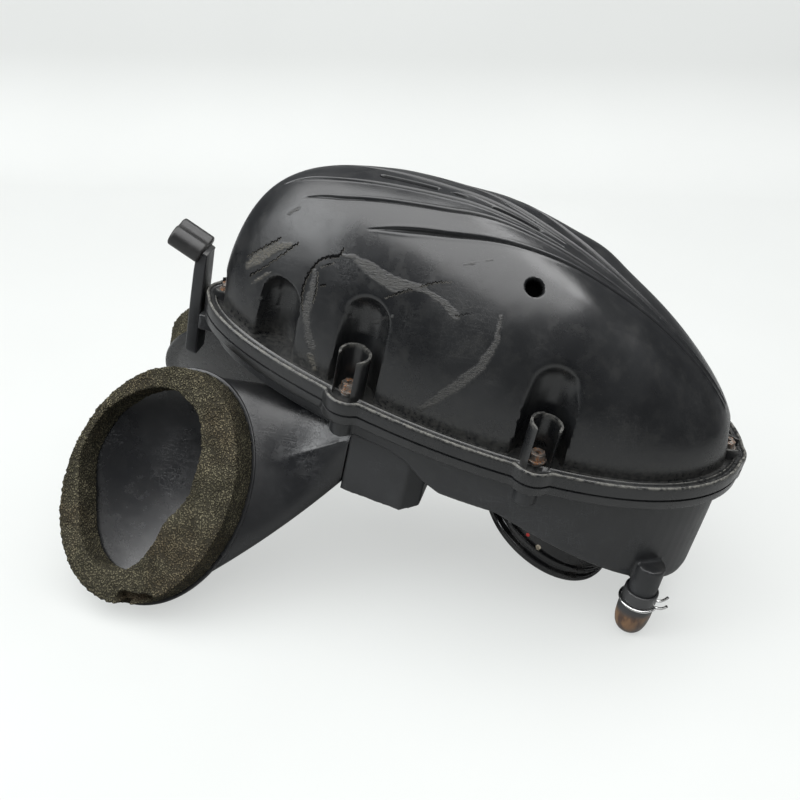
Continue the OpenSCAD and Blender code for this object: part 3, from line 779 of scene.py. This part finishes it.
def tower(index, angle, inset, height):
    """A screw tower: a column with a bore and a slot that opens outwards; the tops of its walls slope."""
    slotted = height > 20
    a0 = math.asin(TOWER_SLOT / 2 / TOWER_R)
    a1 = math.asin(TOWER_SLOT / 2 / TOWER_BORE)
    steps = 40
    outer = [(TOWER_R * math.cos(t), TOWER_R * math.sin(t)) for t in np.linspace(a0, TAU - a0, steps)]
    inner = [(TOWER_BORE * math.cos(t), TOWER_BORE * math.sin(t)) for t in np.linspace(TAU - a1, a1, steps)]
    loop = np.array(outer + inner)
    n = len(loop)
    levels = np.array([0.0, 0.04, 0.3, 0.6, 0.9, 0.985, 1.0])
    shrink = np.array([1.03, 1.0, 1.0, 0.995, 0.99, 0.985, 0.95])
    c = egg(math.radians(angle), inset)
    turn = math.radians(angle)
    spin = np.array([[math.cos(turn), -math.sin(turn)], [math.sin(turn), math.cos(turn)]])
    rings = []
    for level, k in zip(levels, shrink):
        mid = (np.array([(TOWER_R + TOWER_BORE) / 2 * v / np.linalg.norm(v) for v in loop]))
        xy = mid + (loop - mid) * k
        top = height - 0.10 * (loop[:, 0] + TOWER_R) * slotted * 0.6 - 0.7 * (loop[:, 1] > 0)
        z = 11.0 + (top - 11.0) * level
        rings.append(np.column_stack([xy @ spin.T + c, z]))
    faces = ring_faces(len(levels), n)
    ladder = lambda s: [(s + i, s + i + 1, s + n - 2 - i, s + n - 1 - i) for i in range(steps - 1)]
    faces += [f[::-1] for f in ladder(0)] + ladder((len(levels) - 1) * n)
    zero = np.zeros(len(levels) * n)
    worn = np.repeat([0.5 if level > 0.95 else 0.15 if level < 0.1 else 0.0 for level in levels], n)
    obj = mesh_object(f"cover_tower_{index}", np.concatenate(rings), faces, COVER,
                      {"scuff": zero, "tan": zero, "pit_shade": zero, "dust": worn}, sharp=35)
    return place(obj, "cover", "cover_plastic")


# ---------------------------------------------------------------- lower case
def remeshed(name, node, voxel, smoothing, material):
    """A moulded copy of a CAD node: its own shape with every edge and inside corner softened."""
    mesh = frame["nodes"][node].data.copy()
    obj = bpy.data.objects.new(name, mesh)
    bpy.context.scene.collection.objects.link(obj)
    mesh.materials.clear()
    weld = obj.modifiers.new("weld", "WELD")
    weld.merge_threshold = 0.00001
    remesh = obj.modifiers.new("remesh", "REMESH")
    remesh.mode, remesh.voxel_size, remesh.use_smooth_shade = "VOXEL", voxel * MM, True
    smooth = obj.modifiers.new("smooth", "SMOOTH")
    smooth.factor, smooth.iterations = 0.5, smoothing
    bpy.context.view_layer.update()
    evaluated = obj.evaluated_get(bpy.context.evaluated_depsgraph_get())
    result = bpy.data.meshes.new_from_object(evaluated)
    obj.modifiers.clear()
    obj.data = result
    result.materials.clear()
    result.materials.append(material)
    return obj


# ---------------------------------------------------------------- ducts and foam
MOUTH_N = np.array([-0.26, -0.81, 0.53]) / np.linalg.norm([-0.26, -0.81, 0.53])
MOUTH_U = -np.array([-MOUTH_N[1], MOUTH_N[0], 0]) / np.hypot(MOUTH_N[0], MOUTH_N[1])
MOUTH_V = -np.cross(MOUTH_N, MOUTH_U)
FOAM_FACE = np.array([-149.4, -81.3, -71.0])
FLANGE_C = FOAM_FACE - FOAM_T * MOUTH_N
THROAT_C, THROAT_W, THROAT_H = np.array([-48.0, -34.0, -32.0]), 19.0, 16.0


def spow(v, p):
    """A power that keeps the sign."""
    return np.sign(v) * np.abs(v) ** p


def in_mouth(u, v, w):
    """Mouth plane coordinates to the case frame; w is out of the mouth from the flange."""
    return FLANGE_C + u[..., None] * MOUTH_U + v[..., None] * MOUTH_V + np.asarray(w)[..., None] * MOUTH_N


def duct_ring(a, t, gap):
    """Section of a duct, from the mouth (t = 0) to the throat (t = 1), moved in by gap."""
    p = 1 + (0.45 - 1) * t
    mouth = in_mouth((FOAM_W - 3 - gap) * spow(np.cos(a), p), (FOAM_H - 3 - gap) * spow(np.sin(a), p),
                     np.zeros_like(a))
    throat = THROAT_C + np.stack([0 * a, (THROAT_W + WALL - gap) * spow(np.cos(a), p),
                                  (THROAT_H + WALL - gap) * spow(np.sin(a), p)], -1)
    return mouth + (throat - mouth) * t - 14 * t * (1 - t) * MOUTH_N


CREASE_AT, CREASE_H = 150.0, 1.8      # degrees round the mouth, and height in mm


def build_duct(name, side, node):
    cols = 260
    a = np.linspace(0, TAU, cols, endpoint=False)
    rings = []
    for t in np.linspace(0.998, 0.0, 46):
        ridge = 2.2 * math.exp(-((t - 0.32) / 0.06) ** 2) * np.exp(-((a - math.pi) / 1.1) ** 2)
        rings.append(duct_ring(a, t, WALL + ridge))
    edge = rounded([(FOAM_W - 5.5, 0), (FOAM_W, 0), (FOAM_W, -2.5), (FOAM_W - 3.2, -2.5)], 0.8, closed=False)
    for half_w, w in edge[1:]:
        inset = FOAM_W - half_w
        rings.append(in_mouth(half_w * np.cos(a), (FOAM_H - inset) * np.sin(a), np.full(cols, w)))
    for t in np.linspace(0.035, 0.998, 60):
        along = smoothstep(np.full(cols, t), 0.10, 0.30) * smoothstep(np.full(cols, t), 0.97, 0.80)
        off = np.degrees((a - math.radians(CREASE_AT) + math.pi) % TAU - math.pi)
        crease = np.exp(-np.abs(off) / 7.0) * along * CREASE_H
        rings.append(duct_ring(a, t, -crease))
    points = np.concatenate(rings)
    points[:, 1] *= side
    faces = ring_faces(len(rings), cols, close_rows=True)
    if side < 0:
        faces = [f[::-1] for f in faces]
    obj = mesh_object(name, points, faces, DUCT, sharp=40)
    return place(obj, "case", "case_plastic", node)


# Inner opening of the foam in the mouth plane: mean radius, then cosine and sine parts by turn
OPENING_MEAN = 42.2
OPENING_WAVES = [(1, 11.7, 2.1), (2, -8.3, 0.2), (3, -0.3, 1.8), (4, 2.4, 0.0)]
TORN_AT = math.radians(262)  # where round the mouth the foam is torn most
FOAM_STEP = 0.75             # spacing of the foam's mesh, mm


def opening_radius(a):
    r = np.full_like(a, OPENING_MEAN)
    for turn, c, s in OPENING_WAVES:
        r += c * np.cos(turn * a) + s * np.sin(turn * a)
    return r


def build_foam(name, side, node):
    cols = 620
    a = np.linspace(0, TAU, cols, endpoint=False)
    r_out = 1 / np.sqrt((np.cos(a) / (FOAM_W - 1.6)) ** 2 + (np.sin(a) / (FOAM_H - 1.6)) ** 2)
    r_in = np.minimum(opening_radius(a), r_out - 5)
    corner = rounded([(0, 0.3, 0.4), (1, 0.3, 0.4), (1, FOAM_T, 3.2), (0, FOAM_T, 2.2)], 1.0, 6)
    loop = []
    for s, e in zip(corner, np.roll(corner, -1, 0)):
        count = max(1, int(np.hypot((e[0] - s[0]) * 18, e[1] - s[1]) / FOAM_STEP))
        loop += [s + (e - s) * k / count for k in range(count)]
    loop = np.array(loop)
    R = r_in + (r_out - r_in) * loop[:, None, 0]
    W = np.repeat(loop[:, None, 1], cols, 1)
    U, V = R * np.cos(a), R * np.sin(a)
    flat = np.stack([U, V, W], -1).reshape(-1, 3)
    seed = 2.0 if side > 0 else 9.0
    coarse = noise_at(flat, 13.0, seed, 2)
    fine = noise_at(flat, 1.7, seed + 4, 2)
    share = np.repeat(loop[:, 0], cols)
    height = flat[:, 2] / FOAM_T
    around = np.tile(a, len(loop))
    ragged = np.exp(-((around - TORN_AT) / 0.6) ** 2)
    chunk = smoothstep(coarse + 0.75 * ragged, 0.85, 1.15) * smoothstep(share, 0.45, 0.95) * (height > 0.25)
    flat[:, 2] -= chunk * 6.0 * height
    pull = 1 - 0.05 * chunk - 0.006 * coarse * (share > 0.5)
    flat[:, 0] *= pull
    flat[:, 1] *= pull
    face = smoothstep(height, 0.9, 1.0)
    flat[:, 2] += (0.7 * coarse + 0.55 * fine) * face * (1 - 0.2 * chunk)
    mid = (r_in + r_out) / 2
    outward = np.sign(share - 0.5) * ((share < 0.02) | (share > 0.98))
    ux, uy = np.cos(around), np.sin(around)
    flat[:, 0] += outward * (0.5 * fine + 0.4 * coarse) * ux
    flat[:, 1] += outward * (0.5 * fine + 0.4 * coarse) * uy
    flat[:, 2] = np.maximum(flat[:, 2], 0.08)
    points = in_mouth(flat[:, 0], flat[:, 1], flat[:, 2])
    points[:, 1] *= side
    faces = ring_faces(len(loop), cols, close_rows=True)
    if side > 0:
        faces = [f[::-1] for f in faces]
    obj = mesh_object(name, points, faces, FOAM, {"torn": chunk}, sharp=180)
    return place(obj, "case", "foam", node)


# ---------------------------------------------------------------- boot, drain, stay
def case_depth(x):
    """Depth of the lower case's floor under the skirt at x."""
    t = np.clip((x + 24) / 30, 0, 1)
    return 13 + 15 * t * t * (3 - 2 * t) + max(0, x - 38) * math.tan(SLOPE)


def on_boot_axis(local):
    """Points about the boot's own axis, in the case frame."""
    return pitched(local, SLOPE) + np.array([BOOT_X, 0, -case_depth(BOOT_X)])


# Dabs of inspection paint on the boot: place, radius and colour
BOOT_MARKS = [((57.3, -37.1, -55.8), 1.1, (0.55, 0.02, 0.015)),
              ((64.8, -39.0, -60.3), 1.5, (0.50, 0.44, 0.34))]


def build_boot():
    low = -BOOT_LEN
    outline = rounded([(BOOT_R, 5, 0.8), (BOOT_R, low + 1, 1.4), (BOOT_R + 2.5, low, 1.6), (41.6, low, 2.2),
                       (42, low + 4.6, 1.4), (39.4, low + 5.6, 0.8), (39.2, low + 7.0, 0.5),
                       (40.9, low + 7.6, 0.9), (41.0, low + 10.6, 1.2), (39.0, low + 11.6, 0.8),
                       (38.8, -10.0, 1.2), (39.5, -8.6, 0.8), (39.5, -4.15, 0.3), (36.9, -4.15, 0.2),
                       (36.9, 3.1, 0.2), (40, 3.1, 0.4), (40, 5, 0.8)], 1.0, 6)
    m = rubber("boot_rubber", (0.006, 0.006, 0.0065), 0.16, bloom=0.2)
    base = m.shader.inputs["Base Color"]
    for spot, radius, paint in BOOT_MARKS:
        offset = m.vector_math("SUBTRACT", m.coords, tuple(to_bench([spot])[0] / MM))
        away = m.length(offset)
        m.set(Base_Color=m.mix(m.ramp(away, radius + 0.2, radius - 0.2), base.links[0].from_socket, paint))
    boot = lathe("boot_rubber_sleeve", outline, 300, on_boot_axis, m.material, sharp=60)
    return place(boot, "case", "boot_rubber", "throttle_boot")


def build_drain():
    foot = np.array([DRAIN[0], DRAIN[1], 0])
    outline = rounded([(8.05, -80, 0.5), (8.05, -62, 0.5), (9.4, -62, 0.7), (9.6, -68.6, 0.5),
                       (9.15, -69.4, 0.4), (9.15, -70.6, 0.4), (9.6, -71.6, 0.6), (9.75, -77, 2),
                       (9.3, -83.5, 2), (8.1, -88, 2), (6.4, -90.4, 1), (3.6, -91, 1.2),
                       (0.4, -91, 0.1), (0.4, -80, 0.2)], 1.0, 5)
    m = Nodes("plug_rubber")
    streak = m.noise(6, detail=4, stretch=(1, 1, 0.4))
    foot_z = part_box("drain_plug")[0].z / MM
    rise = m.math("SUBTRACT", m.height(), foot_z)
    oily = m.mix(m.ramp(streak, 0.38, 0.62), (0.05, 0.022, 0.010), (0.20, 0.105, 0.045))
    tip = m.mix(m.ramp(rise, 2, 8), (0.075, 0.066, 0.05), oily)
    collar = m.math("ADD", m.ramp(rise, 4, 21), m.times(streak, 0.3))
    colour = m.mix(m.ramp(collar, 0.75, 1.1), tip, (0.03, 0.03, 0.031))
    m.set(Base_Color=colour, Roughness=m.blend(streak, 0.22, 0.5))
    m.shader.inputs["Coat Weight"].default_value = 0.5
    m.shader.inputs["Coat Roughness"].default_value = 0.15
    m.bumps((m.noise(0.7, detail=3), 0.04), (streak, 0.35))
    plug = lathe("drain_plug_body", outline, 96, lambda p: p + foot, m.material, sharp=60)
    place(plug, "plug", "plug_rubber", "drain_plug")
    ring = [(10.3 * math.cos(t), 10.3 * math.sin(t), 0) for t in np.radians(np.linspace(16, 344, 70))]
    ears = [(12.2, 3.2, 0.6), (14.2, 3.6, 2.4), (15.2, 3.8, 4.2)]
    path = [(x, y, z) for x, y, z in ears[::-1]] + ring + [(x, -y, z) for x, y, z in ears]
    path = smooth_curve(path, 220) + foot + np.array([0, 0, -70])
    clip = tube_along("drain_clip_wire", path, 0.8, WIRE, sharp=60)
    place(clip, "plug", "spring_steel", "drain_clip")


def leaned(points):
    """The tongue and its cushion, bent up a little from the strap towards the front."""
    foot = np.array([STAY_X + 1, 0, TONGUE_Z])
    return pitched(points - foot, TONGUE_LEAN) + foot + np.array([2.0, 0, 0])


def build_case_bead():
    """Moulded bead round the lower case, just under the cover's skirt."""
    cols = 720
    path = np.column_stack([egg(np.linspace(0, TAU, cols, endpoint=False), 6.7), np.full(cols, -3.6)])
    bead = tube_along("case_rim_bead", path, 1.1, CASE, sides=12, closed=True, sharp=60)
    return place(bead, "case", "case_plastic")


def build_cushion():
    """Two soft lobes side by side, pushed over the stay's tongue."""
    steps, rows = 72, 40
    a = np.linspace(0, TAU, steps, endpoint=False)
    half_y, half_z, length = 10.0, 6.8, 20.0
    waist = 1 - 0.30 * np.exp(-(np.cos(a) / 0.22) ** 2)
    y = half_y * spow(np.cos(a), 0.72)
    z = half_z * spow(np.sin(a), 0.75) * waist
    rings = []
    for s in np.linspace(0, 1, rows):
        x = STAY_X - 22 + length * s
        end = min(1.0, (1 - abs(2 * s - 1)) / 0.16)
        k = 0.80 + 0.20 * math.sqrt(max(0.0, 1 - (1 - end) ** 2))
        rings.append(np.column_stack([np.full(steps, x), y * (1 - (1 - k) * 0.55), TONGUE_Z + z * k]))
    points = leaned(np.concatenate(rings))
    obj = mesh_object("cushion_rubber", points, ring_faces(rows, steps) + caps(rows, steps), SEAL, sharp=50)
    return place(obj, "case", "seal_rubber", "stay_cushion")


def build_stay():
    """Pressed strap: a channel that stands on the nose, with a flat tongue folded forward at its top."""
    front, rear, half_y, lip = STAY_X - 4.0, STAY_X + 3.0, 6.6, 2.2
    channel = [(front, -half_y), (rear, -half_y), (rear, half_y), (front, half_y), (front, half_y - lip),
               (rear - 2.6, half_y - lip), (rear - 2.6, -half_y + lip), (front, -half_y + lip)]
    shape = rounded(channel, 0.9, 4)
    levels = [(-30, 0.80), (-29.2, 0.92), (-28, 1.0), (6, 1.0), (24, 0.97), (33.5, 0.9), (35.2, 0.86),
              (35.6, 0.80)]
    n = len(shape)
    rings = [np.column_stack([rear + (shape[:, 0] - rear) * k, shape[:, 1] * (0.5 + 0.5 * k), np.full(n, z)])
             for z, k in levels]
    faces = ring_faces(len(levels), n) + caps(len(levels), n)
    strap = mesh_object("stay_strap", np.concatenate(rings), faces, STAY, sharp=40)
    place(strap, "case", "stay_plastic", "front_stay")
    tip, root, under, over = STAY_X - 19, STAY_X + 1, TONGUE_Z - 1.5, TONGUE_Z + 1.5
    tongue = rounded([(tip, under), (root, under), (root, over), (tip, over)], 0.6, 4)
    wide = [(-6, 0.94), (-5.6, 1.0), (5.6, 1.0), (6, 0.94)]
    centre = tongue.mean(0)
    rings = [np.column_stack([centre[0] + (tongue[:, 0] - centre[0]) * k, np.full(len(tongue), y),
                              centre[1] + (tongue[:, 1] - centre[1]) * k]) for y, k in wide]
    faces = ring_faces(len(wide), len(tongue)) + caps(len(wide), len(tongue))
    tongue = mesh_object("stay_tongue", leaned(np.concatenate(rings)), faces, STAY, sharp=40)
    place(tongue, "case", "stay_plastic")


def seam_bead(name, inset, z, radius, body, slot, node, material):
    """Soft seal with a rounded section that follows the case outline."""
    cols = 720
    a = np.linspace(0, TAU, cols, endpoint=False)
    section = rounded([(-1.5, -1.5, 0.4), (1.5, -1.5, 0.4), (1.45, 1.0, 1.2), (-1.45, 1.0, 1.2)], 0.5, 6)
    rings = [np.column_stack([egg(a, inset + s * radius / 1.5), np.full(cols, z + t)]) for s, t in section]
    faces = ring_faces(len(rings), cols, close_rows=True)
    obj = mesh_object(name, np.concatenate(rings), faces, material, sharp=60)
    return place(obj, body, slot, node)


# ---------------------------------------------------------------- filter
FILTER_X0, FILTER_X1, FILTER_Z, FILTER_H = -124.0, -10.0, -9.0, 20.0


def panel_half_width(x, inset):
    """Half width of the filter panel at x, moved in by inset."""
    if x > FILTER_X1 - inset or x < FILTER_X0 + inset:
        return 0.0
    xs = [FILTER_X0, -97, -48, FILTER_X1]
    return float(np.interp(x, xs, [8, 20, 38, 38])) - inset * 1.08


def build_pleats():
    """Pleated paper with rounded folds."""
    base, top, pleat, thick = FILTER_Z + 5.3, FILTER_Z + 5 + FILTER_H - 3.5, 6.0, 0.7
    xs = np.linspace(FILTER_X0 + 4, FILTER_X1 - 4, 460)
    wave = 0.5 - 0.5 * np.cos(TAU * (xs - FILTER_X0) / pleat)
    wave = wave ** 0.9
    across = 50
    upper, lower = [], []
    for x, w in zip(xs, wave):
        half = max(3.0, panel_half_width(x, 3.4))
        ys = np.linspace(-half, half, across)
        sag = 0.25 * np.sin(ys * 0.35 + x * 0.11)
        z = base + thick + (top - base - thick) * w + sag * w
        upper.append(np.column_stack([np.full(across, x), ys, z]))
        lower.append(np.column_stack([np.full(across, x), ys, np.maximum(z - thick, base - 0.1)]))
    n = len(xs)
    points = np.concatenate(upper + lower)
    faces, off = [], n * across
    for i in range(n - 1):
        for j in range(across - 1):
            q = (i * across + j, (i + 1) * across + j, (i + 1) * across + j + 1, i * across + j + 1)
            faces += [q, tuple(off + k for k in q[::-1])]
    rim = [j for j in range(across)] + [i * across + across - 1 for i in range(1, n)]
    rim += [(n - 1) * across + j for j in range(across - 2, -1, -1)]
    rim += [i * across for i in range(n - 2, 0, -1)]
    faces += [(here, there, off + there, off + here) for here, there in zip(rim, rim[1:] + rim[:1])]
    obj = mesh_object("filter_pleats", points, faces, PAPER, sharp=60)
    return place(obj, "filter", "filter_paper", "filter_media")


def dress(node, material, bevel=0.25):
    """A CAD node that shows as it is, with softened edges and its own finish."""
    obj = frame["nodes"][node]
    obj.data.materials.clear()
    obj.data.materials.append(material)
    obj.data.polygons.foreach_set("use_smooth", np.ones(len(obj.data.polygons), bool))
    weld = obj.modifiers.new("weld", "WELD")
    weld.merge_threshold = 0.00001
    if bevel:
        soft = obj.modifiers.new("bevel", "BEVEL")
        soft.width, soft.segments = bevel * MM, 3
        soft.limit_method, soft.angle_limit = "ANGLE", math.radians(35)
        soft.harden_normals = True


# ---------------------------------------------------------------- build
build_cover()
for number, (angle, inset, height) in enumerate(SCREWS):
    tower(number, angle, inset, height)

tub = remeshed("case_tub", "lower_case", 0.8, 12, CASE)
place(tub, "case", "case_plastic", "lower_case")
build_duct("duct_left", 1, "left_intake_duct")
build_duct("duct_right", -1, "right_intake_duct")
build_foam("foam_left", 1, "left_duct_seal")
build_foam("foam_right", -1, "right_duct_seal")
build_boot()
build_drain()
build_stay()
build_case_bead()
build_cushion()
seam_bead("rim_bead", 6.5, RIM_SEAL_MID, 1.5, "case", "seal_rubber", "rim_seal", SEAL)
build_pleats()
dress("filter_frame", FILTER, 0.4)
dress("filter_gasket", GASKET, 0.8)
dress("filter_screws", ZINC)
dress("intake_funnel", FILTER, 0.4)
dress("funnel_screws", ZINC, 0.2)
dress("cover_screws", RUSTY)
dress("tower_sleeves", ZINC, 0.1)
dress("threaded_inserts", BRASS, 0.1)
dress("stay_screw", ZINC, 0.3)

# ---------------------------------------------------------------- stage, light and camera
CAMERA_AT = (0.14997, -0.58681, 0.48695)
CAMERA_TURN, CAMERA_RISE, CAMERA_ROLL = math.radians(15.047), math.radians(32.649), math.radians(1.081)
FLOOR_REACH = 0.55           # how far the pale floor shows in the plastic's reflections, metres
WALL_BEHIND = 0.62           # where the backdrop turns up, metres behind the object's origin
FLOOR_GLOW = 0.56            # light the paper adds by itself, as far as the camera sees


def camera_ray(m):
    """1 where the camera looks straight at the surface."""
    return m.add("LightPath").outputs["Is Camera Ray"]


def backdrop_material():
    """Pale paper; past its real size it only shows to the camera, so the plastic reflects a darker room."""
    m = Nodes("backdrop")
    far = m.ramp(m.length(m.coords), 1000 * FLOOR_REACH, 1000 * FLOOR_REACH + 250)
    hidden = m.times(far, m.math("SUBTRACT", 1.0, camera_ray(m)))
    seen = m.mix(m.ramp(m.noise(260, detail=3), 0.3, 0.7), (0.165, 0.171, 0.167), (0.178, 0.184, 0.180))
    pale = m.mix(camera_ray(m), (0.30, 0.305, 0.30), seen)
    m.set(Base_Color=m.mix(hidden, pale, (0.05, 0.052, 0.055)), Roughness=0.75,
          Emission_Color=(0.98, 1.0, 0.985), Emission_Strength=m.times(camera_ray(m), FLOOR_GLOW))
    # the backdrop's far side lets a camera behind it look through
    clear = m.add("BsdfTransparent")
    either = m.add("MixShader")
    m.link(m.add("NewGeometry").outputs["Backfacing"], either.inputs[0])
    m.link(m.shader.outputs[0], either.inputs[1])
    m.link(clear.outputs[0], either.inputs[2])
    m.link(either.outputs[0], m.out.inputs["Surface"])
    return m.material


def build_backdrop():
    """A pale floor that curves up into a backdrop."""
    half, height, bend, steps = 3.0, 2.4, 0.10, 16
    profile = [(-2.4, 0.0), (WALL_BEHIND - bend, 0.0)]
    profile += [(WALL_BEHIND - bend + bend * math.sin(t), bend - bend * math.cos(t))
                for t in np.linspace(0.05, math.pi / 2, steps)]
    profile.append((WALL_BEHIND, height))
    forward = Vector((-math.sin(CAMERA_TURN), math.cos(CAMERA_TURN), 0))
    side = Vector((math.cos(CAMERA_TURN), math.sin(CAMERA_TURN), 0))
    points = [tuple(forward * y + side * x + Vector((0, 0, z))) for y, z in profile for x in (-half, half)]
    faces = [(2 * i, 2 * i + 1, 2 * i + 3, 2 * i + 2) for i in range(len(profile) - 1)]
    floor = mesh_object("backdrop", points, faces, backdrop_material(), in_case=False, sharp=180)


def area_light(name, where, target, size, power, colour=(1, 1, 1)):
    data = bpy.data.lights.new(name, "AREA")
    data.shape, data.size, data.size_y = "RECTANGLE", size[0], size[1]
    data.energy, data.color = power, colour
    lamp = bpy.data.objects.new(name, data)
    bpy.context.scene.collection.objects.link(lamp)
    lamp.location = where
    lamp.rotation_euler = (Vector(target) - Vector(where)).to_track_quat("-Z", "Y").to_euler()


def studio_world():
    """Bright behind the object, dim to everything the plastic reflects except a little light from above."""
    world = bpy.data.worlds.new("studio")
    world.use_nodes = True
    tree = world.node_tree
    background = tree.nodes["Background"]
    path = tree.nodes.new("ShaderNodeLightPath")
    coords = tree.nodes.new("ShaderNodeTexCoord")
    split = tree.nodes.new("ShaderNodeSeparateXYZ")
    tree.links.new(coords.outputs["Generated"], split.inputs[0])
    ramp = tree.nodes.new("ShaderNodeMapRange")
    for socket, value in zip(ramp.inputs[1:5], (0.0, 0.9, 0.06, 0.42)):
        socket.default_value = value
    tree.links.new(split.outputs["Z"], ramp.inputs[0])
    pick = tree.nodes.new("ShaderNodeMix")
    tree.links.new(path.outputs["Is Camera Ray"], pick.inputs[0])
    tree.links.new(ramp.outputs[0], pick.inputs[2])
    pick.inputs[3].default_value = 0.9
    tree.links.new(pick.outputs[0], background.inputs[1])
    background.inputs[0].default_value = (0.95, 0.97, 1.0, 1)
    return world


build_backdrop()
area_light("softbox_top", (-0.2, -0.12, 1.2), (-0.1, 0, 0.05), (2.1, 1.5), 38, (1.0, 1.0, 1.0))
area_light("softbox_left", (-1.05, -0.55, 0.75), (-0.05, 0, 0.10), (0.7, 0.8), 11, (0.97, 0.99, 1.0))
area_light("softbox_back", (0.35, 0.45, 0.95), (0, 0.1, 0.05), (1.0, 0.35), 7, (1.0, 1.0, 1.0))
bpy.context.scene.world = studio_world()
bpy.context.scene.view_settings.view_transform = "Standard"

back = Vector((math.sin(CAMERA_TURN) * math.cos(CAMERA_RISE), -math.cos(CAMERA_TURN) * math.cos(CAMERA_RISE),
               math.sin(CAMERA_RISE)))
level = Vector((math.cos(CAMERA_TURN), math.sin(CAMERA_TURN), 0))
above = back.cross(level)
right = level * math.cos(CAMERA_ROLL) + above * math.sin(CAMERA_ROLL)
head = above * math.cos(CAMERA_ROLL) - level * math.sin(CAMERA_ROLL)
camera = bpy.data.objects.new("camera", bpy.data.cameras.new("camera"))
bpy.context.scene.collection.objects.link(camera)
camera.data.lens, camera.data.sensor_width = 57.18, 36.0
camera.matrix_world = Matrix.Translation(CAMERA_AT) @ Matrix((right, head, back)).transposed().to_4x4()
bpy.context.scene.camera = camera
